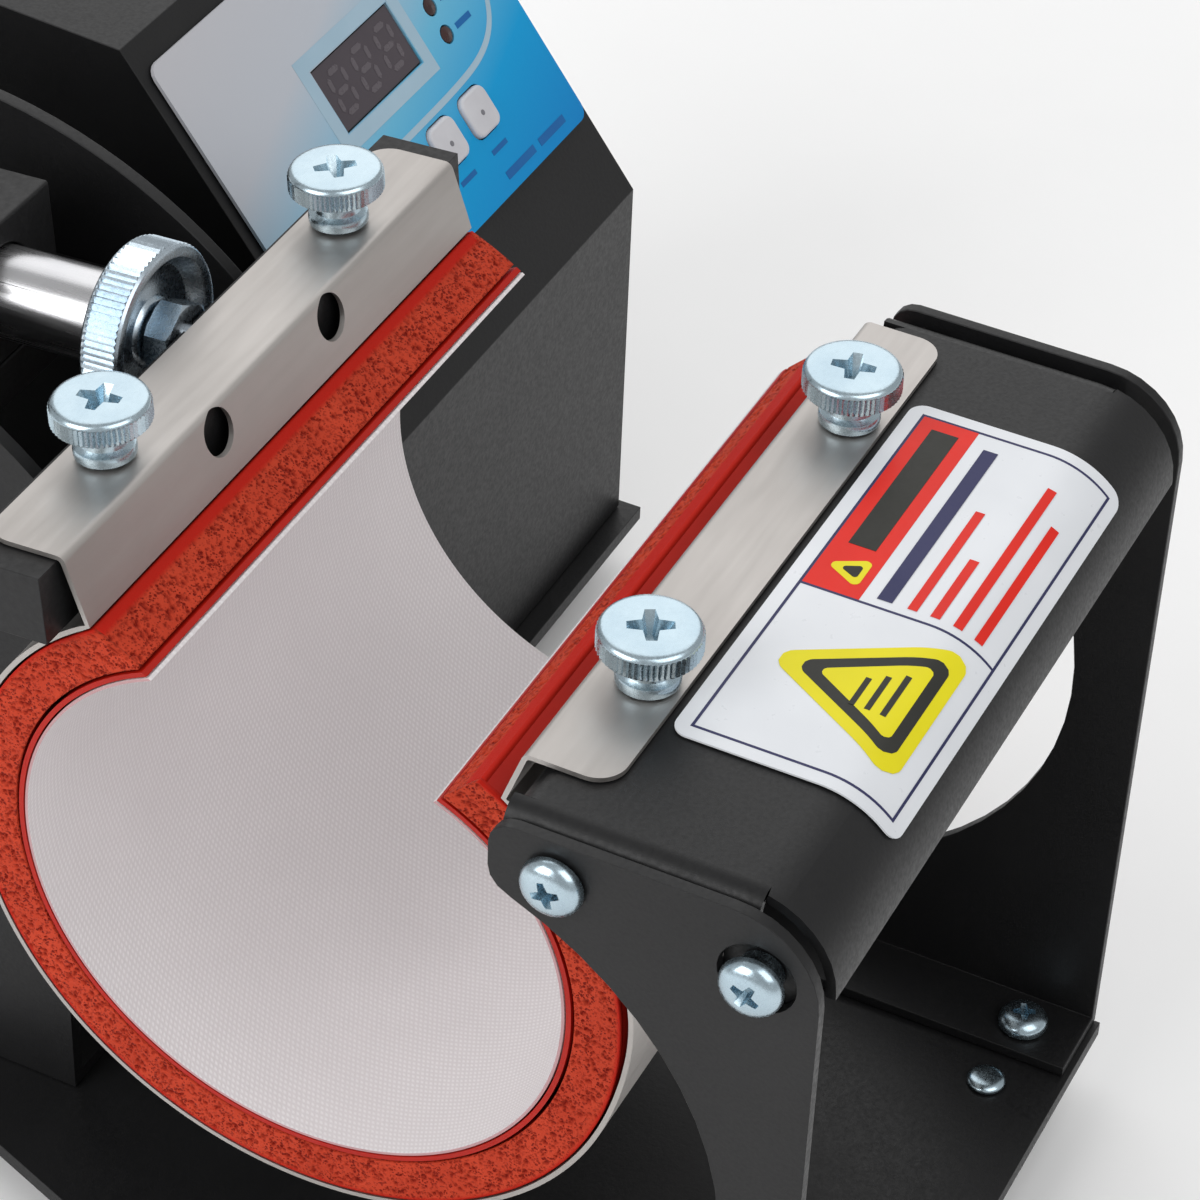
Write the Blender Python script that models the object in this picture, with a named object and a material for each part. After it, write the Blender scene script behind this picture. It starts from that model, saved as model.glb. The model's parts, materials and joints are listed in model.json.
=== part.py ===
"""Mug heat press: an omega-shaped heater clamped round a lying mug by a lever and a sliding jaw.

Sizes are in millimetres and are turned into metres by the helpers. The press frame has +X along the
mug, from its mouth to its base, +Y from the user towards the lever and +Z up. Its origin is near the
heater's centre. The last step stands the press on the floor with the middle of its box over the origin.
"""

import math

import bmesh
import bpy
from mathutils import Matrix, Vector

MM = 0.001
GAP = 0.3

# Heater: a ring of layers round an 82 mm mug, open at the top for the handle.
RING_Y = -0.7
RING_Z = 3.6
BORE_R = 45.6
HEATER_X = (-20.8, 96.7)
LEFT_END = (149.0, 142.8)
RIGHT_END = (-144.3, -142.4)
CLOSING_FROM = 95.0
CLOSING = (2.4, 4.1)
LINING = (0.0, 0.45)
MAT = (0.75, 1.55)
SPONGE = (2.1, 9.5)
BAND = (9.9, 10.7)
BAND_BULGE = 1.0
RIGHT_FOLD = (-39.3, 52.1)
RIGHT_EAR = (-52.8, 52.1)
LEFT_FOLD = (35.8, 57.7)
EAR_WIDTH = 13.6
EAR_CORNER_R = 4.5
FIXED_SCREW_X = (1.2, 71.2)
JAW_SCREW_X = (3.2, 73.2)
SCREW_Y = (-47.3, 42.7)
FLANGE_HOLES_X = (20.2, 54.4)
FLANGE_HOLE_Z = 54.0
FLANGE_HOLE_R = 3.7

# Stand: a flat base, two hooked arms and a folded cover that the fixed ear is screwed to.
BASE_TOP = -89.0
BASE_THICK = 3.0
BASE_SIDE_Y = -91.4
FOOT_R = 11.0
FOOT_HEIGHT = 10.0
ARM_THICK = 2.0
FRONT_ARM_X = -33.2
REAR_ARM_X = 105.5
ARM_TOP = 50.7
ARM_SIDE_Y = -90.4
ARM_CORNER_R = 13.8
ARM_HOOK_Y = -40.0
ARM_OPENING = (-21.5, -14.5, 56.7)
ARM_FOOT = 14.0
COVER_TOP = 51.4
COVER_SIDE_Y = -91.0
COVER_CORNER_R = 14.0
COVER_BOTTOM = 36.5
COVER_INNER_Y = -41.0
COVER_X = (-30.9, 103.2)
COVER_SIDE_X = (-28.9, 101.0)
COVER_BEND_R = 3.8
COVER_FLANGE_Z = (40.2, 31.0)
COVER_SLIT = 0.25
SHEET = 1.5
FRONT_SCREWS = ((-50.4, 43.6), (-81.0, 39.6))
ACCESS_HOLE_R = 5.9
SCREW_COLLAR = 3.0
SPACERS = ((-52.0, 41.0), (-72.0, 41.0))
BASE_SCREW = (98.2, -80.0)
BASE_RIVET = (84.2, -79.0)
LABEL_X = (-6.2, 81.3)
LABEL_Y = -54.1
LABEL_TURN = 56.0

# Moving jaw: a bar, an adjusting wheel and a rod on one axis that falls slightly towards the lever.
TILT = 3.5
AXIS_X = 38.8
AXIS_Y = 50.5
AXIS_Z = 53.4
BAR_X = (-25.5, 101.3)
BAR_WIDTH = 14.0
BAR_DEPTH = 12.0
WHEEL_R = 14.6
WHEEL_A = (4.0, 11.4)
ROD_R = 7.5
STUD_R = 2.7
STUD_START = -10.5
TONGUE = 9.0
STROKE_ANGLE = 40.0
CRANK = 32.0
LINK = 34.0
ROD_PIN_A = 90.0
LINK_THICK = 4.0
PIN_R = 4.0
PIVOT_R = 5.0
RUNNING = 0.3
LEVER_LENGTH = 205.0
LEVER_WIDTH = 18.0
GRIP_LENGTH = 100.0
GRIP_R = 14.5

# Lever stand: two side plates with a curved shoulder, the rod guide between them.
PLATE_THICK = 2.5
PLATE_FACE = 28.8
PLATE_Y = (59.5, 200.0)
PLATE_TOP = 66.0
SHOULDER = (116.0, -18.0, 84.0)
GUIDE_A = (34.0, 58.0)
GUIDE_HALF = 15.0

# Control box: a sloped panel that faces the user.
BOX_X = (100.5, 199.0)
BOX_FRONT_Y = 49.7
BOX_BACK_Y = 165.0
SLOPE_FOOT_Z = -11.2
SLOPE = 53.0
SLOPE_LENGTH = 85.7
LID_RISE = 4.0
BOX_SHEET = 1.5
PANEL = (2.6, 17.6, 97.2, 80.3)
DISPLAY = (36.6, 47.6, 64.2, 60.6)
BUTTONS_U = (45.8, 57.9, 70.0)
BUTTON_V = 33.4
BUTTON_SIZE = 8.6
LEDS_V = (48.2, 54.2)
LED_U = 74.2
LED_R = 1.6


def clear_scene():
    for old in list(bpy.data.objects):
        bpy.data.objects.remove(old, do_unlink=True)


def principled(name, colour, roughness, metallic=0.0):
    material = bpy.data.materials.new(name)
    material.use_nodes = True
    shader = material.node_tree.nodes["Principled BSDF"]
    shader.inputs["Base Color"].default_value = (*colour, 1.0)
    shader.inputs["Roughness"].default_value = roughness
    shader.inputs["Metallic"].default_value = metallic
    return material


def anchor(name, x, y, z, turn_x=0.0, parent=None):
    """An empty that pieces hang from, turned about X by an angle in degrees."""
    empty = bpy.data.objects.new(name, None)
    empty.location = (x * MM, y * MM, z * MM)
    empty.rotation_euler.x = math.radians(turn_x)
    empty.parent = parent
    bpy.context.collection.objects.link(empty)
    return empty


def finish_mesh(name, mesh_builder, paint, parent, origin=(0.0, 0.0, 0.0)):
    """Makes an object of a bmesh whose points are in millimetres in the parent's frame."""
    bmesh.ops.recalc_face_normals(mesh_builder, faces=mesh_builder.faces)
    shift = Matrix.Translation(-Vector(origin))
    bmesh.ops.transform(mesh_builder, matrix=Matrix.Scale(MM, 4) @ shift, verts=mesh_builder.verts)
    mesh = bpy.data.meshes.new(name)
    mesh_builder.to_mesh(mesh)
    mesh_builder.free()
    mesh.shade_smooth()
    mesh.set_sharp_from_angle(angle=math.radians(30))
    mesh.materials.append(principled(name, *paint))
    made = bpy.data.objects.new(name, mesh)
    made.location = Vector(origin) * MM
    made.parent = parent
    bpy.context.collection.objects.link(made)
    return made


AXES = {
    "X": lambda u, v, w: (w, u, v),
    "Y": lambda u, v, w: (u, w, v),
    "Z": lambda u, v, w: (u, v, w),
}


def extruded(name, outline, axis, start, end, paint, parent, origin=(0.0, 0.0, 0.0), corners=()):
    """A prism of an outline, from start to end along an axis.

    corners lists (point number, radius, segments): the side face that starts at that point of the
    outline is a sheet's end, and its two corners are rounded.
    """
    builder = bmesh.new()
    place = AXES[axis]
    low = [builder.verts.new(place(u, v, start)) for u, v in outline]
    high = [builder.verts.new(place(u, v, end)) for u, v in outline]
    builder.faces.new(low)
    builder.faces.new(list(reversed(high)))
    count = len(outline)
    for i in range(count):
        after = (i + 1) % count
        builder.faces.new((low[i], high[i], high[after], low[after]))
    for number, radius, segments in corners:
        after = (number + 1) % count
        ends = [builder.edges.get((side[number], side[after])) for side in (low, high)]
        bmesh.ops.bevel(
            builder, geom=ends, offset=radius, segments=segments, profile=0.5, affect="EDGES"
        )
    return finish_mesh(name, builder, paint, parent, origin)


def turned(name, profile, axis, centre, paint, parent, steps=32, origin=None):
    """A turned piece: profile lists (radius, position along the axis), closed against the axis."""
    builder = bmesh.new()
    place = AXES[axis]
    rings = []
    for radius, along in profile:
        if radius == 0:
            rings.append([builder.verts.new(place(centre[0], centre[1], along))])
            continue
        ring = []
        for i in range(steps):
            angle = math.tau * i / steps
            u = centre[0] + radius * math.cos(angle)
            v = centre[1] + radius * math.sin(angle)
            ring.append(builder.verts.new(place(u, v, along)))
        rings.append(ring)
    for near, far in zip(rings, rings[1:]):
        for i in range(steps):
            after = (i + 1) % steps
            corners = [near[i % len(near)], near[after % len(near)]]
            corners += [far[after % len(far)], far[i % len(far)]]
            unique = list(dict.fromkeys(corners))
            builder.faces.new(unique)
    if len(rings[0]) > 1:
        builder.faces.new(rings[0])
        builder.faces.new(rings[-1])
    start = origin if origin else place(centre[0], centre[1], profile[0][1])
    return finish_mesh(name, builder, paint, parent, start)


def block(name, x, y, z, paint, parent, origin=(0.0, 0.0, 0.0)):
    outline = [(x[0], y[0]), (x[1], y[0]), (x[1], y[1]), (x[0], y[1])]
    return extruded(name, outline, "Z", z[0], z[1], paint, parent, origin)


HIDDEN = ((0.5, 0.5, 0.5), 0.5)


def combined(target, tool, operation):
    """Leaves tool as a hidden helper that is cut from target or joined to it."""
    tool.hide_render = True
    tool.display_type = "WIRE"
    modifier = target.modifiers.new(tool.name, "BOOLEAN")
    modifier.operation = operation
    modifier.solver = "EXACT"
    modifier.object = tool


def bored(target, axis, centre, radius, start, end, steps=20):
    """A round hole through target, with its centre in the target's parent's frame."""
    label = f"{target.name}_bore_{len(target.modifiers)}"
    profile = [(radius, start), (radius, end)]
    combined(target, turned(label, profile, axis, centre, HIDDEN, target.parent, steps), "DIFFERENCE")


def cut(target, outline, axis, start, end):
    label = f"{target.name}_cut_{len(target.modifiers)}"
    combined(target, extruded(label, outline, axis, start, end, HIDDEN, target.parent), "DIFFERENCE")


def joined(target, outline, axis, start, end):
    label = f"{target.name}_join_{len(target.modifiers)}"
    combined(target, extruded(label, outline, axis, start, end, HIDDEN, target.parent), "UNION")


def arc(centre_u, centre_v, radius, start, end, steps):
    """Points on a circle from one angle to another, in degrees from the first axis."""
    points = []
    for i in range(steps + 1):
        angle = math.radians(start + (end - start) * i / steps)
        points.append((centre_u + radius * math.cos(angle), centre_v + radius * math.sin(angle)))
    return points


def rectangle(low_u, low_v, high_u, high_v):
    return [(low_u, low_v), (high_u, low_v), (high_u, high_v), (low_u, high_v)]


def round_rectangle(low_u, low_v, high_u, high_v, radius, steps=4):
    points = arc(high_u - radius, high_v - radius, radius, 0, 90, steps)
    points += arc(low_u + radius, high_v - radius, radius, 90, 180, steps)
    points += arc(low_u + radius, low_v + radius, radius, 180, 270, steps)
    points += arc(high_u - radius, low_v + radius, radius, 270, 360, steps)
    return points


def offset_path(path, distance):
    """The path moved sideways, to its left, with mitred corners."""
    moved = []
    for i, point in enumerate(path):
        here = Vector(point)
        before = Vector(path[i - 1]) if i else None
        after = Vector(path[i + 1]) if i + 1 < len(path) else None
        sides = []
        if before is not None:
            sides.append((here - before).normalized())
        if after is not None:
            sides.append((after - here).normalized())
        normals = [Vector((-side.y, side.x)) for side in sides]
        middle = sum(normals, Vector((0.0, 0.0))).normalized()
        moved.append(tuple(here + middle * (distance / middle.dot(normals[0]))))
    return moved


def thickened(path, thickness):
    """The closed outline of a sheet that follows a path."""
    return offset_path(path, thickness / 2) + list(reversed(offset_path(path, -thickness / 2)))


def ring_point(angle, offset):
    """A point of the ring in (Y, Z); angle is in degrees from straight down, towards +Y."""
    end = LEFT_END[0] if angle > 0 else -RIGHT_END[0]
    closing = CLOSING[0] if angle > 0 else CLOSING[1]
    share = max(0.0, (abs(angle) - CLOSING_FROM) / (end - CLOSING_FROM))
    radius = BORE_R + offset - closing * share**2
    turn = math.radians(angle)
    return RING_Y + radius * math.sin(turn), RING_Z - radius * math.cos(turn)


def layer_end(ends, offset):
    """The angle at which a layer stops: both cut ends lean, so it depends on the layer's offset."""
    return ends[0] + (ends[1] - ends[0]) * offset / SPONGE[1]


def ring_layer(inner, outer, steps=44):
    points = []
    for offset, backwards in ((inner, False), (outer, True)):
        start = layer_end(RIGHT_END, offset)
        end = layer_end(LEFT_END, offset)
        run = [ring_point(start + (end - start) * i / steps, offset) for i in range(steps + 1)]
        points += reversed(run) if backwards else run
    return points


def ear_end():
    slope = math.radians(-TILT)
    return LEFT_FOLD[0] + EAR_WIDTH * math.cos(slope), LEFT_FOLD[1] + EAR_WIDTH * math.sin(slope)


def make_heater(frame):
    zinc = ((0.62, 0.60, 0.57), 0.35, 1.0)
    red = ((0.62, 0.13, 0.06), 0.85)
    middle = (BAND[0] + BAND[1]) / 2
    right = RIGHT_END[0] + 6.3
    left = LEFT_END[1]
    steps = 44
    path = [RIGHT_EAR, RIGHT_FOLD]
    for i in range(steps + 1):
        angle = right + (left - right) * i / steps
        bulge = BAND_BULGE * math.exp(-(((angle + 97) / 14) ** 2))
        path.append(ring_point(angle, middle + bulge))
    path += [LEFT_FOLD, ear_end()]
    outline = thickened(path, BAND[1] - BAND[0])
    last = len(outline) - 1
    corners = ((len(path) - 1, EAR_CORNER_R, 4), (last, EAR_CORNER_R, 4))
    band = extruded("heater_band", outline, "X", *HEATER_X, zinc, frame, corners=corners)
    for x in FIXED_SCREW_X:
        bored(band, "Z", (x, SCREW_Y[0]), 2.8, RIGHT_EAR[1] - 4, RIGHT_EAR[1] + 4)
    for x in JAW_SCREW_X:
        bored(band, "Z", (x, SCREW_Y[1]), 2.8, LEFT_FOLD[1] - 6, LEFT_FOLD[1] + 3)
    for x in FLANGE_HOLES_X:
        bored(band, "Y", (x, FLANGE_HOLE_Z), FLANGE_HOLE_R, 28, 40)
    extruded("heater_sponge", ring_layer(*SPONGE), "X", *HEATER_X, red, frame)
    extruded("heater_mat", ring_layer(*MAT), "X", *HEATER_X, red, frame)
    white = ((0.75, 0.72, 0.73), 0.9)
    extruded("heater_lining", ring_layer(*LINING), "X", *HEATER_X, white, frame)


def thumb_screw_profile(shank):
    """Knurled head, waisted collar and shank, from the bottom up; zero is the collar's seat."""
    return [
        (0, -shank),
        (2.1, -shank),
        (2.4, -shank + 0.6),
        (2.4, 0),
        (4.6, 0),
        (4.85, 0.4),
        (4.85, 2.4),
        (4.4, 3.4),
        (4.4, 5.8),
        (7.4, 5.8),
        (7.75, 6.2),
        (7.75, 9.4),
        (7.2, 10.0),
        (0, 10.0),
    ]


def make_thumb_screws(frame, jaw):
    zinc = ((0.68, 0.73, 0.76), 0.28, 1.0)
    seat = RIGHT_EAR[1] + (BAND[1] - BAND[0]) / 2 + GAP
    for number, x in enumerate(FIXED_SCREW_X, 1):
        profile = [(r, seat + h) for r, h in thumb_screw_profile(9.5)]
        centre = (x, SCREW_Y[0])
        turned(f"thumb_screw_fixed_{number}", profile, "Z", centre, zinc, frame, 28, (*centre, seat))
    ear = bar_top() + GAP + (BAND[1] - BAND[0]) + GAP
    for number, x in enumerate(JAW_SCREW_X, 1):
        profile = [(r, ear + h) for r, h in thumb_screw_profile(9.5)]
        centre = (x - AXIS_X, jaw_along(SCREW_Y[1]))
        turned(f"thumb_screw_jaw_{number}", profile, "Z", centre, zinc, jaw, 28, (*centre, ear))


def arm_outline():
    """The hooked arm in (Y, Z), from the hook's tip round the outside and back along the opening."""
    centre_y, centre_z, radius = ARM_OPENING
    tip = arc(ARM_HOOK_Y - 4.0, ARM_TOP - 4.0, 4.0, 0, 90, 4)
    corner_y = ARM_SIDE_Y + ARM_CORNER_R
    corner = arc(corner_y, ARM_TOP - ARM_CORNER_R, ARM_CORNER_R, 90, 180, 8)
    foot = [(ARM_SIDE_Y, BASE_TOP + GAP), (2.0, BASE_TOP + GAP), (0.0, BASE_TOP + 9)]
    opening = arc(centre_y, centre_z, radius, 288, 113, 28)
    throat = [(-41.6, 38.9), (-40.4, 40.5), (ARM_HOOK_Y, 42.4)]
    return tip + corner + foot + opening[1:] + throat


def make_arm(name, x, foot_side, frame):
    """foot_side is +1 when the foot is folded towards +X and -1 when it is folded towards -X."""
    black = ((0.035, 0.035, 0.037), 0.55)
    arm = extruded(name, arm_outline(), "X", x, x + ARM_THICK, black, frame)
    inner = x if foot_side > 0 else x + ARM_THICK
    low_x = min(inner, inner + foot_side * (ARM_FOOT + ARM_THICK))
    high_x = max(inner, inner + foot_side * (ARM_FOOT + ARM_THICK))
    floor = BASE_TOP + GAP
    joined(arm, rectangle(low_x, ARM_SIDE_Y, high_x, 0.5), "Z", floor, floor + ARM_THICK)
    return arm


def cover_rows():
    """Middle lines of the cover's sheet: along X over both end folds, across over the side and lip."""
    half = SHEET / 2
    top = COVER_TOP - half
    bend = COVER_BEND_R - half
    front = COVER_X[0] + half
    rear = COVER_X[1] - half
    along = [(front, COVER_FLANGE_Z[0])]
    along += arc(front + bend, top - bend, bend, 180, 90, 5)
    along += arc(rear - bend, top - bend, bend, 90, 0, 5)
    along += [(rear, COVER_FLANGE_Z[1])]
    corner_r = COVER_CORNER_R - half
    side = arc(COVER_SIDE_Y + COVER_CORNER_R, top - corner_r, corner_r, 90, 180, 8)
    side += [(COVER_SIDE_Y + half, COVER_BOTTOM)]
    lip = arc(COVER_INNER_Y - half - bend, top - bend, bend, 90, 0, 4)
    lip += [(COVER_INNER_Y - half, top - 8.5)]
    return along, side, lip


def make_cover(frame):
    """A flat top whose four sides are folded down, with a narrow slit between neighbouring folds."""
    black = ((0.04, 0.04, 0.042), 0.5)
    along, side, lip = cover_rows()
    builder = bmesh.new()
    middle = len(along) // 2 - 1
    fall = side[0][1] - side[1][1]
    rows = []
    for y, drop in ((lip[0][0], 0.0), (side[0][0], 0.0), (side[1][0], fall)):
        rows.append([builder.verts.new((x, y, z - drop)) for x, z in along])
    for near, far in zip(rows, rows[1:]):
        for i in range(len(along) - 1):
            builder.faces.new((near[i], near[i + 1], far[i + 1], far[i]))
    flush = [builder.verts.new((x, COVER_INNER_Y, z)) for x, z in along]
    for i in (*range(middle), *range(middle + 1, len(along) - 1)):
        builder.faces.new((rows[0][i], rows[0][i + 1], flush[i + 1], flush[i]))
    previous = rows[0][middle : middle + 2]
    ends = (along[middle][0] + COVER_SLIT, along[middle + 1][0] - COVER_SLIT)
    for y, z in lip[1:]:
        row = [builder.verts.new((x, y, z)) for x in ends]
        builder.faces.new((previous[0], previous[1], row[1], row[0]))
        previous = row
    ends = [COVER_SIDE_X[0], along[middle][0], along[middle + 1][0], COVER_SIDE_X[1]]
    start = (side[1][0] - COVER_SLIT, side[1][1] - COVER_SLIT * 0.2)
    previous = [builder.verts.new((ends[0], *start)), *rows[2][middle : middle + 2]]
    previous.append(builder.verts.new((ends[3], *start)))
    for y, z in side[2:]:
        row = [builder.verts.new((x, y, z)) for x in ends]
        for i in range(3):
            builder.faces.new((previous[i], previous[i + 1], row[i + 1], row[i]))
        previous = row
    cover = finish_mesh("jaw_cover", builder, black, frame)
    fold = cover.modifiers.new("sheet", "SOLIDIFY")
    fold.thickness = SHEET * MM
    fold.offset = 0.0
    fold.use_even_offset = True
    lug = rectangle(-86.5, 32.0, -75.0, 43.0)
    joined(cover, lug, "X", COVER_X[0], COVER_X[0] + SHEET)
    for x in FIXED_SCREW_X:
        bored(cover, "Z", (x, SCREW_Y[0]), 3.0, COVER_TOP - 4, COVER_TOP + 2)
    for centre in FRONT_SCREWS:
        bored(cover, "X", centre, 2.6, COVER_X[0] - 2, COVER_X[0] + 4)
    for centre in SPACERS:
        bored(cover, "X", centre, 2.6, COVER_X[1] - 4, COVER_X[1] + 2)
    return cover


def pan_head(name, axis, centre, seat, out, shank, frame, radius=4.8, height=3.0, shaft=2.3, collar=0.0):
    """A pan-head screw; out is +1 or -1, the way its head points along the axis."""
    steel = ((0.72, 0.72, 0.7), 0.25, 1.0)
    profile = [(0, seat - out * shank), (shaft, seat - out * shank)]
    if collar:
        under = seat - out * collar
        profile += [(shaft, under), (radius * 0.7, under), (radius * 0.7, seat)]
    else:
        profile.append((shaft, seat))
    profile.append((radius, seat))
    profile += [(radius, seat + out * height * 0.35), (radius * 0.86, seat + out * height * 0.78)]
    profile += [(radius * 0.55, seat + out * height), (0, seat + out * height)]
    return turned(name, profile, axis, centre, steel, frame, 20)


def base_outline():
    rear = REAR_ARM_X + ARM_THICK
    back = PLATE_Y[1] + 4
    outline = [(FRONT_ARM_X, BASE_SIDE_Y), (rear, BASE_SIDE_Y), (rear, BOX_FRONT_Y - 4)]
    outline += [(BOX_X[1] + 2, BOX_FRONT_Y - 4), (BOX_X[1] + 2, BOX_BACK_Y + 4)]
    outline += [(86.0, BOX_BACK_Y + 4), (76.0, back), (4.5, back), (4.5, 105.0)]
    return outline + [(FRONT_ARM_X, -3.0)]


def make_stand(frame):
    black = ((0.035, 0.035, 0.037), 0.6)
    under = BASE_TOP - BASE_THICK
    base = extruded("base_plate", base_outline(), "Z", under, BASE_TOP, black, frame)
    front = make_arm("front_arm", FRONT_ARM_X, 1, frame)
    rear = make_arm("rear_arm", REAR_ARM_X, -1, frame)
    make_cover(frame)
    rubber = ((0.03, 0.03, 0.03), 0.9)
    feet = ((-18.0, -76.0), (93.0, -76.0), (20.0, 190.0), (187.0, 152.0))
    for number, centre in enumerate(feet, 1):
        profile = [(FOOT_R - 1.5, under - GAP - FOOT_HEIGHT), (FOOT_R, under - GAP)]
        turned(f"foot_{number}", profile, "Z", centre, rubber, frame, 24)
    bored(front, "X", FRONT_SCREWS[0], 2.6, FRONT_ARM_X - 2, FRONT_ARM_X + 4)
    bored(front, "X", FRONT_SCREWS[1], ACCESS_HOLE_R, FRONT_ARM_X - 2, FRONT_ARM_X + 4, 28)
    pan_head("cover_screw_1", "X", FRONT_SCREWS[0], FRONT_ARM_X - GAP, -1, 8.0, frame)
    head_seat = COVER_X[0] - GAP - SCREW_COLLAR
    pan_head(
        "cover_screw_2", "X", FRONT_SCREWS[1], head_seat, -1, 8.0, frame, collar=SCREW_COLLAR
    )
    for number, centre in enumerate(SPACERS, 1):
        bored(rear, "X", centre, 2.6, REAR_ARM_X - 2, REAR_ARM_X + 4)
        ends = (COVER_X[1] + GAP, REAR_ARM_X - GAP)
        profile = [(5.5, ends[0]), (5.5, ends[1])]
        ring = turned(f"cover_spacer_{number}", profile, "X", centre, HIDDEN_STEEL, frame, 24)
        bored(ring, "X", centre, 2.6, ends[0] - 1, ends[1] + 1, 16)
        seat = REAR_ARM_X + ARM_THICK + GAP
        pan_head(f"spacer_screw_{number}", "X", centre, seat, 1, 9.0, frame)
    foot_seat = BASE_TOP + GAP + ARM_THICK + GAP
    bored(base, "Z", BASE_SCREW, 2.6, under - 1, BASE_TOP + 1)
    bored(rear, "Z", BASE_SCREW, 2.6, BASE_TOP - 1, foot_seat + 1)
    pan_head("base_screw", "Z", BASE_SCREW, foot_seat, 1, 5.0, frame, 4.4)
    bored(base, "Z", BASE_RIVET, 1.9, under - 1, BASE_TOP + 1)
    pan_head("base_rivet", "Z", BASE_RIVET, BASE_TOP + GAP, 1, 3.0, frame, 3.4, 1.4, 1.6)
    strip = block("ear_nut_strip", (-6, 82), (-51.5, -43.6), (46.0, 49.0), HIDDEN_STEEL, frame)
    for x in FIXED_SCREW_X:
        bored(strip, "Z", (x, SCREW_Y[0]), 2.7, 44, 51, 16)
    make_label(frame)


HIDDEN_STEEL = ((0.5, 0.5, 0.5), 0.4, 1.0)


def make_label(frame):
    """A plate that follows the cover's flat top and its rounded edge."""
    white = ((0.85, 0.86, 0.88), 0.35)
    flat_y = COVER_SIDE_Y + COVER_CORNER_R
    radius = COVER_CORNER_R + GAP + 0.15
    path = [(LABEL_Y, COVER_TOP + GAP + 0.15)]
    path += arc(flat_y, COVER_TOP - COVER_CORNER_R, radius, 90, 90 + LABEL_TURN, 7)
    extruded("label_plate", thickened(path, 0.3), "X", *LABEL_X, white, frame)


def bar_top():
    """Height of the jaw bar's top above the jaw's axis, so that the left ear lies on it."""
    down = (LEFT_FOLD[0] - AXIS_Y) * math.sin(math.radians(TILT))
    up = (LEFT_FOLD[1] - AXIS_Z) * math.cos(math.radians(TILT))
    return down + up - (BAND[1] - BAND[0]) / 2 - GAP


def jaw_along(y):
    """Position along the jaw's axis of a point on the left ear with the given Y."""
    return (y - AXIS_Y) / math.cos(math.radians(TILT)) - bar_top() * math.tan(math.radians(TILT))


def hexagon(radius):
    return arc(0, 0, radius, 30, 330, 5)


def make_jaw(jaw):
    black = ((0.035, 0.035, 0.037), 0.55)
    steel = ((0.75, 0.76, 0.78), 0.15, 1.0)
    zinc = ((0.66, 0.70, 0.74), 0.3, 1.0)
    top = bar_top()
    low_x = BAR_X[0] - AXIS_X
    high_x = BAR_X[1] - AXIS_X
    bar = block("jaw_bar", (low_x, high_x), (-BAR_WIDTH, 0), (top - BAR_DEPTH, top), black, jaw)
    bored(bar, "Y", (0, 0), STUD_R + GAP, -BAR_WIDTH - 2, 2)
    for x in JAW_SCREW_X:
        bored(bar, "Z", (x - AXIS_X, jaw_along(SCREW_Y[1])), 2.7, top - BAR_DEPTH - 2, top + 2, 16)
    nut_end = 5.4
    nut = extruded("jaw_nut", hexagon(7.0), "Y", GAP, nut_end, zinc, jaw)
    bored(nut, "Y", (0, 0), STUD_R + GAP, GAP - 1, nut_end + 1)
    first, last = WHEEL_A
    dish = first + 3.6
    wheel = [(0, last), (WHEEL_R - 0.8, last), (WHEEL_R, last - 0.8), (WHEEL_R, first + 0.6)]
    wheel += [(WHEEL_R - 0.6, first), (WHEEL_R - 2.2, first), (WHEEL_R - 3.4, dish), (8.2, dish)]
    wheel += [(7.4, dish - 0.6), (0, dish - 0.6)]
    hand_wheel = turned("pressure_wheel", wheel, "Y", (0, 0), zinc, jaw, 40, (0, last, 0))
    bored(hand_wheel, "Y", (0, 0), STUD_R + GAP, first - 2, last + 2)
    rod_start = last + GAP
    rod_end = ROD_PIN_A + 9.0
    rod_profile = [(0, STUD_START), (STUD_R - 0.6, STUD_START), (STUD_R, STUD_START + 0.8)]
    rod_profile += [(STUD_R, rod_start), (ROD_R, rod_start), (ROD_R, rod_end), (0, rod_end)]
    rod = turned("push_rod", rod_profile, "Y", (0, 0), steel, jaw, 32)
    flat = ROD_PIN_A - 10.0
    for side in (-1, 1):
        cut(rod, rectangle(side * TONGUE / 2, -9, side * 12, 9), "Y", flat, rod_end + 1)
    slot_rise = CRANK * (1 - math.cos(math.radians(STROKE_ANGLE / 2)))
    slot_r = PIN_R + RUNNING
    slot = arc(ROD_PIN_A, slot_rise, slot_r, 0, 180, 8) + arc(ROD_PIN_A, 0, slot_r, 180, 360, 8)
    cut(rod, slot, "X", -8, 8)


def crank_rest():
    """The crank's lean at rest, from the jaw's own upright towards the lever side, in radians."""
    return math.radians(STROKE_ANGLE / 2)


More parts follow.
